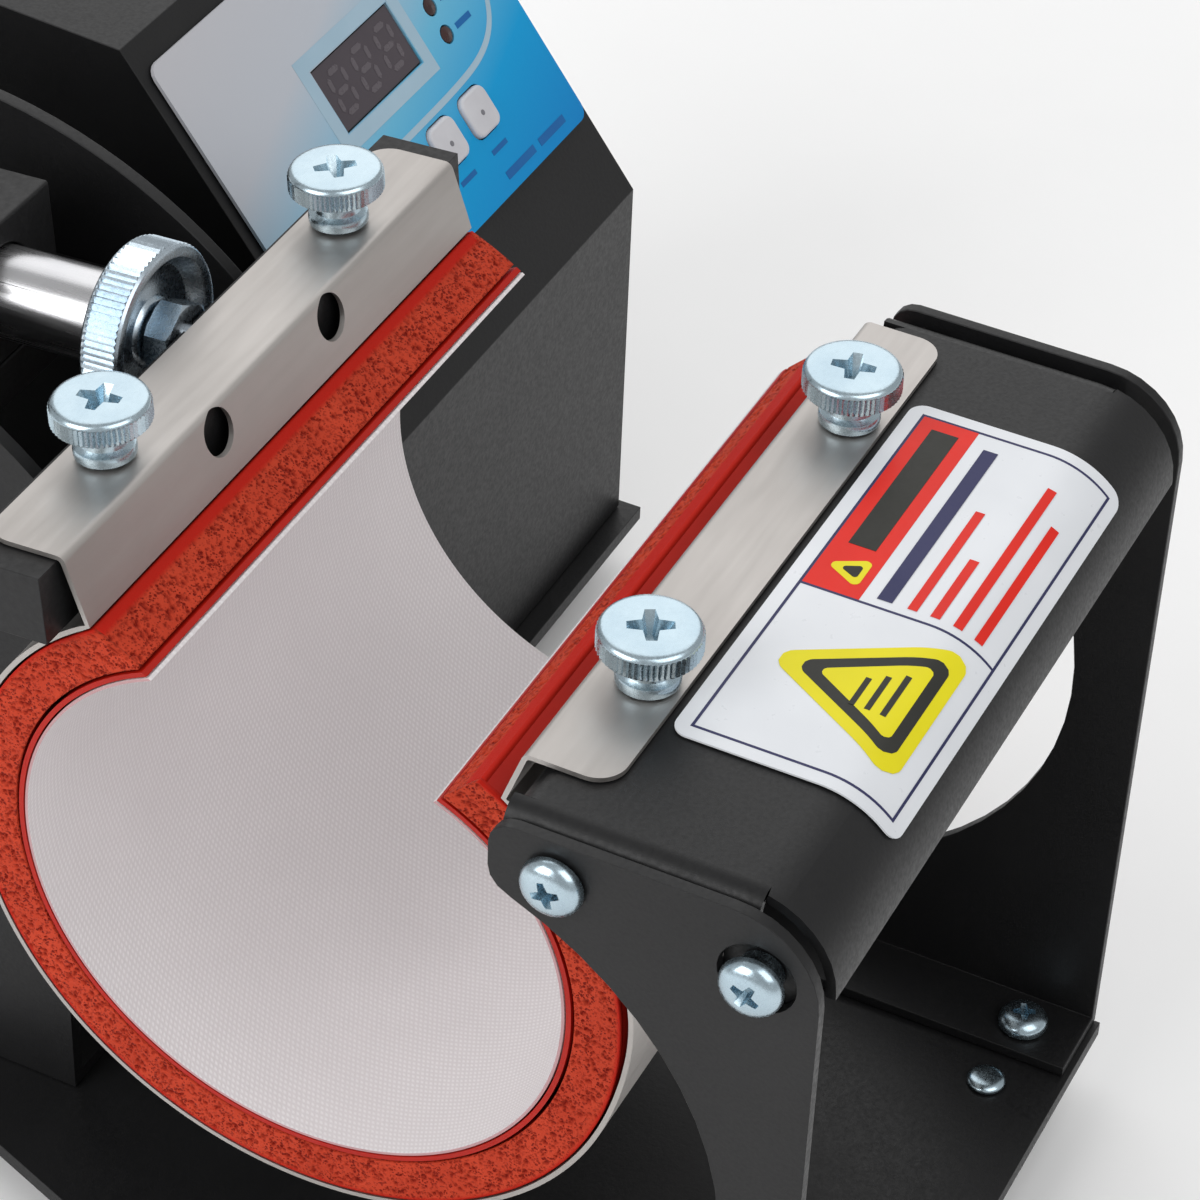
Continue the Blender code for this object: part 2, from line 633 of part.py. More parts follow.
def make_lever(jaw):
    """Lever, links and their pins, in the jaw axis's frame, where the link lies along the axis."""
    black = ((0.03, 0.03, 0.03), 0.5)
    steel = ((0.68, 0.68, 0.68), 0.3, 1.0)
    rubber = ((0.03, 0.03, 0.03), 0.85)
    knee_a = ROD_PIN_A + LINK
    lean = crank_rest()
    pivot_a = knee_a - CRANK * math.sin(lean)
    pivot_h = -CRANK * math.cos(lean)
    pivot = anchor("lever_pivot", 0, pivot_a, pivot_h, -math.degrees(lean), jaw)
    half = LEVER_WIDTH / 2
    thick = TONGUE / 2
    bar = arc(0, 0, half + 2, 180, 360, 12) + [(half, 16.0), (half, LEVER_LENGTH)]
    bar += [(-half, LEVER_LENGTH), (-half, 16.0)]
    lever = extruded("lever_arm", bar, "X", -thick, thick, black, pivot)
    bored(lever, "X", (0, 0), PIVOT_R + RUNNING, -8, 8)
    bored(lever, "X", (0, CRANK), PIN_R + RUNNING, -8, 8)
    grip_start = LEVER_LENGTH - GRIP_LENGTH
    grip = [(GRIP_R - 2.5, grip_start), (GRIP_R, grip_start + 4), (GRIP_R - 1.5, grip_start + 45)]
    grip += [(GRIP_R + 0.5, LEVER_LENGTH - 8), (GRIP_R - 3, LEVER_LENGTH + 5), (0, LEVER_LENGTH + 6)]
    grip = [(0, grip_start)] + grip
    handle = turned("lever_grip", grip, "Z", (0, 0), rubber, pivot, 28)
    hole = rectangle(-thick - GAP, -half - GAP, thick + GAP, half + GAP)
    cut(handle, hole, "Z", grip_start - 2, LEVER_LENGTH + GAP)
    pin_x = PLATE_FACE + PLATE_THICK + 2.0
    pin = [(0, -pin_x - 3), (7.5, -pin_x - 3), (7.5, -pin_x), (PIVOT_R, -pin_x)]
    pin += [(PIVOT_R, pin_x), (7.5, pin_x), (7.5, pin_x + 3), (0, pin_x + 3)]
    turned("lever_pivot_pin", pin, "X", (pivot_a, pivot_h), steel, jaw, 24)
    for name, side in (("pivot_spacer_near", -1), ("pivot_spacer_far", 1)):
        ends = sorted((side * (thick + RUNNING), side * (PLATE_FACE - GAP)))
        sleeve = turned(name, [(8.0, ends[0]), (8.0, ends[1])], "X", (pivot_a, pivot_h), steel, jaw, 24)
        bored(sleeve, "X", (pivot_a, pivot_h), PIVOT_R + RUNNING, ends[0] - 1, ends[1] + 1)
    link_outline = arc(ROD_PIN_A, 0, 8.5, 90, 270, 8) + arc(knee_a, 0, 8.5, 270, 450, 8)
    inner = thick + 0.5
    knee = (0, knee_a, 0)
    for name, side in (("link_near", -1), ("link_far", 1)):
        ends = sorted((side * inner, side * (inner + LINK_THICK)))
        link = extruded(name, link_outline, "X", *ends, steel, jaw, knee)
        bored(link, "X", (ROD_PIN_A, 0), PIN_R + RUNNING, ends[0] - 1, ends[1] + 1)
        bored(link, "X", (knee_a, 0), PIN_R + RUNNING, ends[0] - 1, ends[1] + 1)
    reach = inner + LINK_THICK + GAP
    for name, a in (("rod_pin", ROD_PIN_A), ("knee_pin", knee_a)):
        profile = [(0, -reach - 1.8), (5.6, -reach - 1.8), (5.6, -reach), (PIN_R, -reach)]
        profile += [(PIN_R, reach), (5.6, reach), (5.6, reach + 1.8), (0, reach + 1.8)]
        turned(name, profile, "X", (a, 0), steel, jaw, 20, knee)
    return pivot_a, pivot_h


def plate_outline():
    centre_y, centre_z, radius = SHOULDER
    first = math.degrees(math.acos((PLATE_Y[0] - centre_y) / radius))
    shoulder = arc(centre_y, centre_z, radius, first, 90, 14)
    corner = arc(PLATE_Y[1] - 25, PLATE_TOP - 25, 25, 90, 0, 8)
    floor = BASE_TOP + GAP
    return shoulder + corner + [(PLATE_Y[1], floor), (PLATE_Y[0], floor)]


def to_press(along, height):
    """A point of the jaw axis's frame as (Y, Z) of the press frame."""
    turn = math.radians(TILT)
    y = AXIS_Y + along * math.cos(turn) + height * math.sin(turn)
    z = AXIS_Z - along * math.sin(turn) + height * math.cos(turn)
    return y, z


def make_lever_stand(frame, jaw, pivot):
    black = ((0.035, 0.035, 0.037), 0.55)
    floor = BASE_TOP + GAP
    plates = []
    for name, side in (("side_plate_near", -1), ("side_plate_far", 1)):
        ends = sorted((AXIS_X + side * PLATE_FACE, AXIS_X + side * (PLATE_FACE + PLATE_THICK)))
        plate = extruded(name, plate_outline(), "X", *ends, black, frame)
        foot = sorted((AXIS_X + side * (PLATE_FACE + 1), AXIS_X + side * (PLATE_FACE - 12)))
        joined(plate, rectangle(foot[0], PLATE_Y[0], foot[1], PLATE_Y[1]), "Z", floor, floor + 2.5)
        bored(plate, "X", to_press(*pivot), PIVOT_R + RUNNING, ends[0] - 1, ends[1] + 1)
        plates.append(plate)
    guide_height = GUIDE_HALF - 3.0
    guide = block(
        "rod_guide", (-GUIDE_HALF, GUIDE_HALF), GUIDE_A, (-guide_height, guide_height), black, jaw
    )
    bored(guide, "Y", (0, 0), ROD_R + RUNNING, GUIDE_A[0] - 2, GUIDE_A[1] + 2, 32)
    reach = PLATE_FACE - GAP
    middle = (GUIDE_A[0] + GUIDE_A[1]) / 2
    low = -guide_height - GAP
    bridge = block(
        "guide_bridge", (-reach, reach), (GUIDE_A[0], GUIDE_A[1]), (low - 8, low), black, jaw
    )
    screw_y, screw_z = to_press(middle, low - 4)
    for number, side in enumerate((-1, 1), 1):
        ends = (side * (PLATE_FACE - 13), side * (PLATE_FACE + 5))
        bored(bridge, "X", (middle, low - 4), 2.6, *sorted(ends), 16)
        face = AXIS_X + side * PLATE_FACE
        bored(plates[number - 1], "X", (screw_y, screw_z), 2.6, face - 5, face + 5, 16)
        seat = AXIS_X + side * (PLATE_FACE + PLATE_THICK + GAP)
        pan_head(f"bridge_screw_{number}", "X", (screw_y, screw_z), seat, side, 13.0, frame)


def box_outline(inset):
    """The control box in (Y, Z), with its walls moved in by inset."""
    slope = math.radians(SLOPE)
    top_y = BOX_FRONT_Y + SLOPE_LENGTH * math.cos(slope)
    top_z = SLOPE_FOOT_Z + SLOPE_LENGTH * math.sin(slope)
    rise = (BOX_BACK_Y - top_y) * math.tan(math.radians(LID_RISE))
    floor = BASE_TOP + GAP
    path = [(BOX_BACK_Y, floor), (BOX_BACK_Y, top_z + rise), (top_y, top_z)]
    path += [(BOX_FRONT_Y, SLOPE_FOOT_Z), (BOX_FRONT_Y, floor)]
    if not inset:
        return path
    moved = offset_path(path, inset)
    moved[0] = (moved[0][0], floor - 5)
    moved[-1] = (moved[-1][0], floor - 5)
    return moved


def make_control_box(frame):
    black = ((0.035, 0.035, 0.037), 0.55)
    dark = ((0.02, 0.02, 0.022), 0.4)
    box = extruded("control_box", box_outline(0), "X", *BOX_X, black, frame)
    inner_x = (BOX_X[0] + BOX_SHEET, BOX_X[1] - BOX_SHEET)
    cut(box, box_outline(BOX_SHEET), "X", *inner_x)
    panel = anchor("panel_plane", BOX_X[0], BOX_FRONT_Y, SLOPE_FOOT_Z, SLOPE, frame)
    panel_pieces(box, panel)
    inlet = (134.0, BASE_TOP + 29)
    switch = (172.0, BASE_TOP + 29)
    back = BOX_BACK_Y
    for centre, half_w, half_h in ((inlet, 14.0, 10.2), (switch, 9.7, 13.2)):
        hole = (centre[0] - half_w, centre[1] - half_h, centre[0] + half_w, centre[1] + half_h)
        cut(box, rectangle(*hole), "Y", back - 4, back + 4)
    socket_outline = round_rectangle(inlet[0] - 17, inlet[1] - 13, inlet[0] + 17, inlet[1] + 13, 2.5)
    socket = extruded("power_inlet", socket_outline, "Y", back + GAP, back + 3.3, dark, frame)
    joined(socket, rectangle(inlet[0] - 13.5, inlet[1] - 9.7, inlet[0] + 13.5, inlet[1] + 9.7),
           "Y", back - 20, back + 1.5)
    cut(socket, rectangle(inlet[0] - 11.5, inlet[1] - 7.7, inlet[0] + 11.5, inlet[1] + 7.7),
        "Y", back - 16, back + 5)
    frame_outline = rectangle(switch[0] - 11.5, switch[1] - 15.5, switch[0] + 11.5, switch[1] + 15.5)
    bezel = extruded("switch_frame", frame_outline, "Y", back + GAP, back + 2.3, dark, frame)
    joined(bezel, rectangle(switch[0] - 9.2, switch[1] - 12.7, switch[0] + 9.2, switch[1] + 12.7),
           "Y", back - 14, back + 1.5)
    cut(bezel, rectangle(switch[0] - 7.6, switch[1] - 10.9, switch[0] + 7.6, switch[1] + 10.9),
        "Y", back - 12, back + 4)
    rocker_y = back - 2.0
    rocker = [(rocker_y - 4, switch[1] - 8), (rocker_y + 6.2, switch[1] - 8.6)]
    rocker += [(rocker_y + 4.2, switch[1]), (rocker_y + 3.0, switch[1] + 8.8)]
    rocker += [(rocker_y - 4, switch[1] + 8)]
    red = ((0.5, 0.02, 0.02), 0.3)
    origin = (switch[0], rocker_y, switch[1])
    extruded("power_rocker", rocker, "X", switch[0] - 7.1, switch[0] + 7.1, red, frame, origin)
    green = ((0.02, 0.16, 0.06), 0.5)
    low = BASE_TOP + GAP
    shelf_top = low + 12.4
    tray = [(114, low), (186, low), (186, low + 1.2), (175, low + 1.2), (175, shelf_top)]
    tray += [(125, shelf_top), (125, low + 1.2), (114, low + 1.2)]
    shelf = extruded("board_tray", tray, "Y", 98, 147, HIDDEN_STEEL, frame)
    cut(shelf, rectangle(126.2, low - 1, 173.8, shelf_top - 1.2), "Y", 90, 155)
    board_low = shelf_top + GAP
    block("power_board", (118, 182), (95, 150), (board_low, board_low + 1.6), green, frame)
    relay_low = board_low + 1.6 + GAP
    block("power_relay", (150, 178), (112, 128), (relay_low, relay_low + 20), dark, frame)


def panel_pieces(box, panel):
    """The overlay and what shows through it, in the slope's own frame: U along it, V up it."""
    blue = ((0.05, 0.45, 0.7), 0.35)
    dark = ((0.02, 0.02, 0.022), 0.2)
    light = ((0.75, 0.76, 0.78), 0.45)
    low, high = GAP, GAP + 0.7
    overlay = extruded("control_panel", round_rectangle(*PANEL, 2.5), "Z", low, high, blue, panel)
    cut(overlay, rectangle(*DISPLAY), "Z", -1, 3)
    grown = (DISPLAY[0] - 1, DISPLAY[1] - 1, DISPLAY[2] + 1, DISPLAY[3] + 1)
    cut(box, to_box(grown), "X", BOX_X[0] + grown[0], BOX_X[0] + grown[2])
    window = (DISPLAY[0] + GAP, DISPLAY[1] + GAP, DISPLAY[2] - GAP, DISPLAY[3] - GAP)
    extruded("display_window", rectangle(*window), "Z", -8.0, high - 0.3, dark, panel)
    half = BUTTON_SIZE / 2
    for number, u in enumerate(BUTTONS_U, 1):
        hole = (u - half - GAP, BUTTON_V - half - GAP, u + half + GAP, BUTTON_V + half + GAP)
        cut(overlay, round_rectangle(*hole, 2.3), "Z", -1, 3)
        cut(box, to_box(hole), "X", BOX_X[0] + hole[0], BOX_X[0] + hole[2])
        shape = round_rectangle(u - half, BUTTON_V - half, u + half, BUTTON_V + half, 2.0)
        extruded(f"button_{number}", shape, "Z", -6.0, 2.0, light, panel, (u, BUTTON_V, 2.0))
    for number, v in enumerate(LEDS_V, 1):
        bored(overlay, "Z", (LED_U, v), LED_R + GAP, -1, 3, 16)
        hole = (LED_U - 2.2, v - 2.2, LED_U + 2.2, v + 2.2)
        cut(box, to_box(hole), "X", BOX_X[0] + hole[0], BOX_X[0] + hole[2])
        profile = [(0, -6.0), (LED_R, -6.0), (LED_R, high - 0.1), (0, high + 0.3)]
        turned(f"led_{number}", profile, "Z", (LED_U, v), ((0.3, 0.02, 0.02), 0.3), panel, 16)
    green = ((0.02, 0.16, 0.06), 0.5)
    extruded("panel_board", rectangle(14, 22, 86, 72), "Z", -10.0, -8.4, green, panel)


def to_box(window):
    """A window of the slope as an outline in the press frame's (Y, Z), through the sheet."""
    slope = math.radians(SLOPE)
    corners = []
    for v, n in ((window[1], -4), (window[3], -4), (window[3], 3), (window[1], 3)):
        y = BOX_FRONT_Y + v * math.cos(slope) - n * math.sin(slope)
        z = SLOPE_FOOT_Z + v * math.sin(slope) + n * math.cos(slope)
        corners.append((y, z))
    return corners


def stand_on_floor(frame):
    """Moves the press so that its box stands on Z = 0 with its middle over the origin."""
    bpy.context.view_layer.update()
    graph = bpy.context.evaluated_depsgraph_get()
    points = []
    for piece in bpy.data.objects:
        if piece.type == "MESH" and not piece.hide_render:
            evaluated = piece.evaluated_get(graph)
            points += [evaluated.matrix_world @ vertex.co for vertex in evaluated.data.vertices]
    low = Vector(min(point[i] for point in points) for i in range(3))
    high = Vector(max(point[i] for point in points) for i in range(3))
    middle = (low + high) / 2
    frame.location = (-middle.x, -middle.y, -low.z)


def main():
    clear_scene()
    frame = anchor("press_frame", 0, 0, 0)
    jaw = anchor("jaw_axis", AXIS_X, AXIS_Y, AXIS_Z, -TILT, frame)
    make_heater(frame)
    make_stand(frame)
    make_thumb_screws(frame, jaw)
    make_jaw(jaw)
    pivot = make_lever(jaw)
    make_lever_stand(frame, jaw, pivot)
    make_control_box(frame)
    stand_on_floor(frame)


main()
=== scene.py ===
"""Looks of the mug heat press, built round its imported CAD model.

Sizes are in millimetres in three frames: the press frame, whose origin is near the heater's centre,
the jaw frame, along the push rod, and the panel frame, on the control box's slope.
"""

import json
import math

import bmesh
import bpy
import numpy as np
from mathutils import Euler, Matrix, Vector


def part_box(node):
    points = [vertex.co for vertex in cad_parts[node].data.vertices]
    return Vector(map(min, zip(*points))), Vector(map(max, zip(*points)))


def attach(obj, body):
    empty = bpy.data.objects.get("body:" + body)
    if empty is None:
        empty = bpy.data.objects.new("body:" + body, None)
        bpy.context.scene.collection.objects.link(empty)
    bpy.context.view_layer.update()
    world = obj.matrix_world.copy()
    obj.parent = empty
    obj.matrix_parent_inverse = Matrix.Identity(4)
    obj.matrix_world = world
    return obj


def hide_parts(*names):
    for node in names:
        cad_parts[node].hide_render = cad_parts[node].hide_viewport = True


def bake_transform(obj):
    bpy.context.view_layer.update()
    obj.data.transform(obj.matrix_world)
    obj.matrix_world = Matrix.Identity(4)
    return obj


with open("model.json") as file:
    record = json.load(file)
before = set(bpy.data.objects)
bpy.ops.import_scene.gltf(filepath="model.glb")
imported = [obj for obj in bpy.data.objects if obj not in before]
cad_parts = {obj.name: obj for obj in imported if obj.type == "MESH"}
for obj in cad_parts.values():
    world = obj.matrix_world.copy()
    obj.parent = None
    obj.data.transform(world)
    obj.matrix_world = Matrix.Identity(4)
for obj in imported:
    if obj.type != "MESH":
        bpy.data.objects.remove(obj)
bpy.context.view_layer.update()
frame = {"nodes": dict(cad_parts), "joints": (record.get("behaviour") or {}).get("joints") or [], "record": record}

MM = 0.001
BODY_OF = {
    node: body for body, nodes in frame["record"]["behaviour"]["bodies"].items() for node in nodes
}

# The press frame starts at the base plate's low corner and top, the other two start in the press frame.
BASE_TO_PRESS = (33.2, 91.4, 89.0)
JAW_START, TILT = (38.8, 50.5, 53.4), 3.5
PANEL_START, PANEL_SLOPE = (100.5, 49.7, -11.2), 53.0


def turned(degrees, axis):
    return Matrix.Rotation(math.radians(degrees), 4, axis)


base_low, base_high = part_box("base_plate")
corner = (base_low.x, base_low.y, base_high.z)
ORIGIN = Vector([start + offset * MM for start, offset in zip(corner, BASE_TO_PRESS)])
PRESS = Matrix.Translation(ORIGIN) @ Matrix.Scale(MM, 4)
JAW = PRESS @ Matrix.Translation(JAW_START) @ turned(-TILT, "X")
PANEL = PRESS @ Matrix.Translation(PANEL_START) @ turned(PANEL_SLOPE, "X")
TO_Y, TO_X, TO_LESS_X = turned(-90, "X"), turned(90, "Y"), turned(-90, "Y")
AXES_TO_YZX = Matrix(((0, 0, 1, 0), (1, 0, 0, 0), (0, 1, 0, 0), (0, 0, 0, 1)))

# Camera: its place in the press frame, its lens in millimetres, and its turn about X, Y and Z.
CAMERA_PLACE, CAMERA_LENS = (-397.55, -225.47, 426.00), 122.146
CAMERA_TURN = (50.551, -1.924, -63.39)

# Heater, in the press frame. Each layer is a pair of distances outwards from the bore.
RING_Y, RING_Z, BORE_R = -0.7, 3.6, 45.6
HEATER_X = (-20.8, 96.7)
LEFT_END, RIGHT_END = (149.0, 142.8), (-144.3, -142.4)
CLOSING_FROM, CLOSING = 95.0, (2.4, 4.1)
LINING, MAT, SPONGE, BAND = (0.0, 0.45), (0.75, 1.55), (2.1, 9.5), (9.9, 10.7)
BAND_BULGE, BULGE_AT, BULGE_SPREAD = 1.0, -97, 14
AROUND = 190
RIGHT_FOLD, RIGHT_EAR, LEFT_FOLD = (-39.3, 52.1), (-52.8, 52.1), (35.8, 57.7)
EAR_WIDTH, EAR_CORNER_R, FOLD_R = 13.6, 4.5, 1.1
FIXED_SCREW_X, JAW_SCREW_X, SCREW_Y = (1.2, 71.2), (3.2, 73.2), (-47.3, 42.7)
FLANGE_HOLES_X, FLANGE_HOLE_Z, FLANGE_HOLE_R = (20.2, 54.4), 54.0, 3.7
SCREW_HOLE_R, SCREW_SHANK, SCREW_HEAD = 2.8, 9.5, 10.0

# Cover and label, in the press frame.
COVER_TOP, COVER_SIDE_Y, COVER_CORNER_R = 51.4, -91.0, 14.0
LABEL_X, LABEL_Y, LABEL_TURN = (-6.2, 81.3), -54.1, 56.0
LABEL_R = COVER_CORNER_R + 0.45
LABEL_FLAT = LABEL_Y - COVER_SIDE_Y - COVER_CORNER_R
LABEL_SIZE = (LABEL_X[1] - LABEL_X[0], LABEL_FLAT + LABEL_R * math.radians(LABEL_TURN))


# ------------ materials


def shader_of(paint):
    return paint.node_tree.nodes["Principled BSDF"]


def added(tree, kind, values=None, links=None):
    """A new shader node with its values set and its sockets linked."""
    node = tree.nodes.new(f"ShaderNode{kind}")
    for name, value in (values or {}).items():
        node.inputs[name].default_value = value
    for name, socket in (links or {}).items():
        tree.links.new(socket, node.inputs[name])
    return node


def coordinates(tree, stretch=(1, 1, 1), turn=(0, 0, 0), source="Object"):
    """The piece's own coordinates, in metres, stretched and turned."""
    start = added(tree, "TexCoord").outputs[source]
    mapping = added(tree, "Mapping", {"Scale": stretch, "Rotation": turn}, {"Vector": start})
    return mapping.outputs["Vector"]


def noise_of(tree, vector, scale, detail=3.0):
    values = {"Scale": scale, "Detail": detail, "Roughness": 0.55}
    return added(tree, "TexNoise", values, {"Vector": vector}).outputs["Fac"]


def attribute_of(tree, name):
    """A value that the mesh holds at each of its points."""
    node = added(tree, "Attribute")
    node.attribute_name = name
    return node.outputs["Fac"]


def ranged(tree, value, low, high, out_low, out_high):
    values = {"From Min": low, "From Max": high, "To Min": out_low, "To Max": out_high}
    return added(tree, "MapRange", values, {"Value": value}).outputs["Result"]


def calculated(tree, operation, first, second):
    node = added(tree, "Math", links={0: first, 1: second})
    node.operation = operation
    return node.outputs[0]


def mixed(tree, factor, first, second):
    """A colour between two, each a triple or a socket."""
    node = added(tree, "Mix", links={"Factor": factor})
    node.data_type = "RGBA"
    for slot, colour in ((node.inputs[6], first), (node.inputs[7], second)):
        if isinstance(colour, tuple):
            slot.default_value = (*colour, 1.0)
        else:
            tree.links.new(colour, slot)
    return node.outputs[2]


def ramped(tree, value, stops):
    node = added(tree, "ValToRGB", links={"Fac": value})
    ramp = node.color_ramp
    while len(ramp.elements) < len(stops):
        ramp.elements.new(0.5)
    for element, (position, colour) in zip(ramp.elements, stops):
        element.position = position
        element.color = (*colour, 1.0)
    return node.outputs["Color"]


def bumped(tree, height, distance, strength=1.0, below=None):
    """A normal from a height, on top of the normal below if there is one."""
    values = {"Distance": distance, "Strength": strength}
    links = {"Height": height}
    if below is not None:
        links["Normal"] = below
    return added(tree, "Bump", values, links).outputs["Normal"]


def surface(
    name,
    colour,
    shade,
    roughness,
    patch,
    grain,
    depth,
    stretch=(1, 1, 1),
    spread=0.06,
    metallic=0.0,
    **sockets,
):
    """Colour to shade in soft patches, uneven roughness, and a fine grain in relief.

    patch and grain are noise scales, depth is the grain's height in metres, stretch draws it out.
    """
    made = bpy.data.materials.new(name)
    made.use_nodes = True
    tree = made.node_tree
    shader = shader_of(made)
    soft = noise_of(tree, coordinates(tree), patch)
    fine = noise_of(tree, coordinates(tree, stretch), grain, 4.0)
    blend = ranged(tree, soft, 0.32, 0.68, 0.0, 1.0)
    tree.links.new(mixed(tree, blend, colour, shade), shader.inputs["Base Color"])
    uneven = ranged(tree, fine, 0.3, 0.7, roughness - spread, roughness + spread)
    tree.links.new(uneven, shader.inputs["Roughness"])
    tree.links.new(bumped(tree, fine, depth), shader.inputs["Normal"])
    shader.inputs["Metallic"].default_value = metallic
    for socket, value in sockets.items():
        shader.inputs[socket.replace("_", " ")].default_value = value
    return made


def sponge_material():
    """Cut silicone foam: the mesh holds its larger pores, and a cell pattern adds the small ones; both are
    darkened with painted shade.
    """
    red, shade = (0.52, 0.052, 0.021), (0.43, 0.038, 0.015)
    made = surface("cut_sponge", red, shade, 0.62, 90, 2600, 0.00005, Specular_IOR_Level=0.10)
    tree = made.node_tree
    shader = shader_of(made)
    pore, skin = attribute_of(tree, "pore"), attribute_of(tree, "skin")
    patches = ranged(tree, noise_of(tree, coordinates(tree), 420.0, 2.0), 0.42, 0.58, 0.4, 1.0)
    dots = []
    for scale, width in ((1250.0, 0.40), (2200.0, 0.37)):
        cells = added(tree, "TexVoronoi", {"Scale": scale}, {"Vector": coordinates(tree)})
        dots.append(ranged(tree, cells.outputs["Distance"], width * 0.5, width, 1.0, 0.0))
    holes = calculated(tree, "MULTIPLY", calculated(tree, "MAXIMUM", *dots), patches)
    open_face = ranged(tree, skin, 0.0, 1.0, 1.0, 0.0)
    small = calculated(tree, "MULTIPLY", holes, open_face)
    both = calculated(tree, "MAXIMUM", small, pore)
    plain = shader.inputs["Base Color"].links[0].from_socket
    skinned = mixed(tree, skin, plain, (0.43, 0.011, 0.004))
    # Painted shade: the sunk pores, by their depth, and the cell pattern's dots darken towards a deep red.
    pore_shade = mixed(tree, both, skinned, (0.17, 0.004, 0.001))
    tree.links.new(pore_shade, shader.inputs["Base Color"])
    relief = ranged(tree, both, 0.0, 1.0, 1.0, 0.0)
    grain = shader.inputs["Normal"].links[0].from_socket
    tree.links.new(bumped(tree, relief, 0.00025, 0.8, grain), shader.inputs["Normal"])
    return made


def lining_material():
    """Off-white glass cloth: a fine diagonal twill from two crossed bands of thread."""
    made = surface("woven_lining", (0.78, 0.745, 0.75), (0.72, 0.685, 0.69), 0.7, 25, 700, 0.00001)
    tree = made.node_tree
    shader = shader_of(made)
    heights = []
    for turn, scale in ((0.0, 330.0), (1.1, 420.0)):
        vector = coordinates(tree, turn=(0, 0, turn), source="UV")
        wave = added(tree, "TexWave", {"Scale": scale, "Distortion": 0.6}, {"Vector": vector})
        heights.append(wave.outputs["Fac"])
    both = calculated(tree, "MULTIPLY", *heights)
    plain = shader.inputs["Base Color"].links[0].from_socket
    threads = ranged(tree, both, 0.0, 0.7, 0.55, 0.0)
    tree.links.new(mixed(tree, threads, plain, (0.58, 0.53, 0.54)), shader.inputs["Base Color"])
    tree.links.new(bumped(tree, both, 0.00008, 0.6), shader.inputs["Normal"])
    return made


def panel_material():
    """Printed overlay: silver grey at the upper left, through pale blue, to strong blue below."""
    grey, shade = (0.5, 0.5, 0.5), (0.4, 0.4, 0.4)
    made = surface("panel_overlay", grey, shade, 0.42, 60, 1500, 0.000012, Specular_IOR_Level=0.2)
    tree = made.node_tree
    start = added(tree, "TexCoord").outputs["Object"]
    values = {"Location": PANEL.translation, "Rotation": (math.radians(PANEL_SLOPE), 0, 0)}
    flat = added(tree, "Mapping", values, {"Vector": start})
    flat.vector_type = "TEXTURE"
    parts = added(tree, "SeparateXYZ", links={"Vector": flat.outputs["Vector"]}).outputs
    across = ranged(tree, parts["X"], 0.0026, 0.0972, 0.0, 0.34)
    down = ranged(tree, parts["Y"], 0.0803, 0.0176, 0.0, 0.66)
    total = calculated(tree, "ADD", across, down)
    stops = (
        (0.0, (0.50, 0.50, 0.53)),
        (0.30, (0.47, 0.50, 0.55)),
        (0.55, (0.13, 0.44, 0.64)),
        (0.75, (0.0, 0.30, 0.62)),
        (1.0, (0.0, 0.20, 0.52)),
    )
    tree.links.new(ramped(tree, total, stops), shader_of(made).inputs["Base Color"])
    return made


def coat(name, colour, shade, roughness, patch, grain, depth, spread):
    return surface(
        name, colour, shade, roughness, patch, grain, depth, spread=spread, Specular_IOR_Level=0.32
    )


def metal(name, colour, shade, roughness, patch, grain, depth, stretch=(1, 1, 1), spread=0.06):
    return surface(name, colour, shade, roughness, patch, grain, depth, stretch, spread, 1.0)


def ink(name, colour, shade, roughness=0.38, patch=60):
    return surface(name, colour, shade, roughness, patch, 1300, 0.00001, Specular_IOR_Level=0.2)


black = coat(
    "powder_coat", (0.0065, 0.0065, 0.007), (0.0095, 0.0095, 0.01), 0.43, 35, 1400, 0.00003, 0.08
)
coarse_black = coat(
    "wrinkled_coat", (0.007, 0.007, 0.0075), (0.011, 0.011, 0.0115), 0.5, 40, 800, 0.00005, 0.07
)
zinc = metal(
    "zinc_plate", (0.50, 0.61, 0.67), (0.42, 0.53, 0.60), 0.26, 120, 1800, 0.000008, spread=0.07
)
nut_zinc = metal(
    "wheel_zinc", (0.52, 0.60, 0.66), (0.45, 0.53, 0.60), 0.27, 90, 1500, 0.00001, spread=0.07
)
steel = metal(
    "bare_steel", (0.50, 0.475, 0.455), (0.44, 0.415, 0.395), 0.5, 28, 500, 0.000008, (0.08, 1, 1)
)
chrome = metal(
    "polished_rod", (0.64, 0.64, 0.65), (0.58, 0.58, 0.60), 0.27, 50, 900, 0.000004, (1, 0.04, 1), 0.05
)
hidden_steel = metal("plain_steel", (0.48, 0.48, 0.49), (0.40, 0.40, 0.41), 0.38, 60, 1200, 0.00001)
brass = metal("contact_brass", (0.62, 0.50, 0.27), (0.55, 0.44, 0.22), 0.28, 150, 1800, 0.00001)

cut_red = sponge_material()
red_skin = surface(
    "silicone_skin",
    (0.43, 0.011, 0.004),
    (0.36, 0.009, 0.003),
    0.45,
    60,
    700,
    0.00003,
    Specular_IOR_Level=0.22,
)
cloth = lining_material()
cloth_edge = surface("lining_edge", (0.50, 0.30, 0.31), (0.44, 0.25, 0.26), 0.8, 90, 1300, 0.00002)
rubber = surface("grip_rubber", (0.016, 0.016, 0.016), (0.024, 0.023, 0.023), 0.68, 80, 1100, 0.00006)
moulding = surface("black_moulding", (0.014, 0.014, 0.015), (0.02, 0.02, 0.02), 0.38, 90, 1600, 0.00002)
rocker_red = surface("rocker_red", (0.42, 0.012, 0.012), (0.36, 0.01, 0.01), 0.28, 90, 1500, 0.00001)
board = surface("circuit_board", (0.02, 0.16, 0.06), (0.015, 0.11, 0.045), 0.42, 320, 1500, 0.00003)

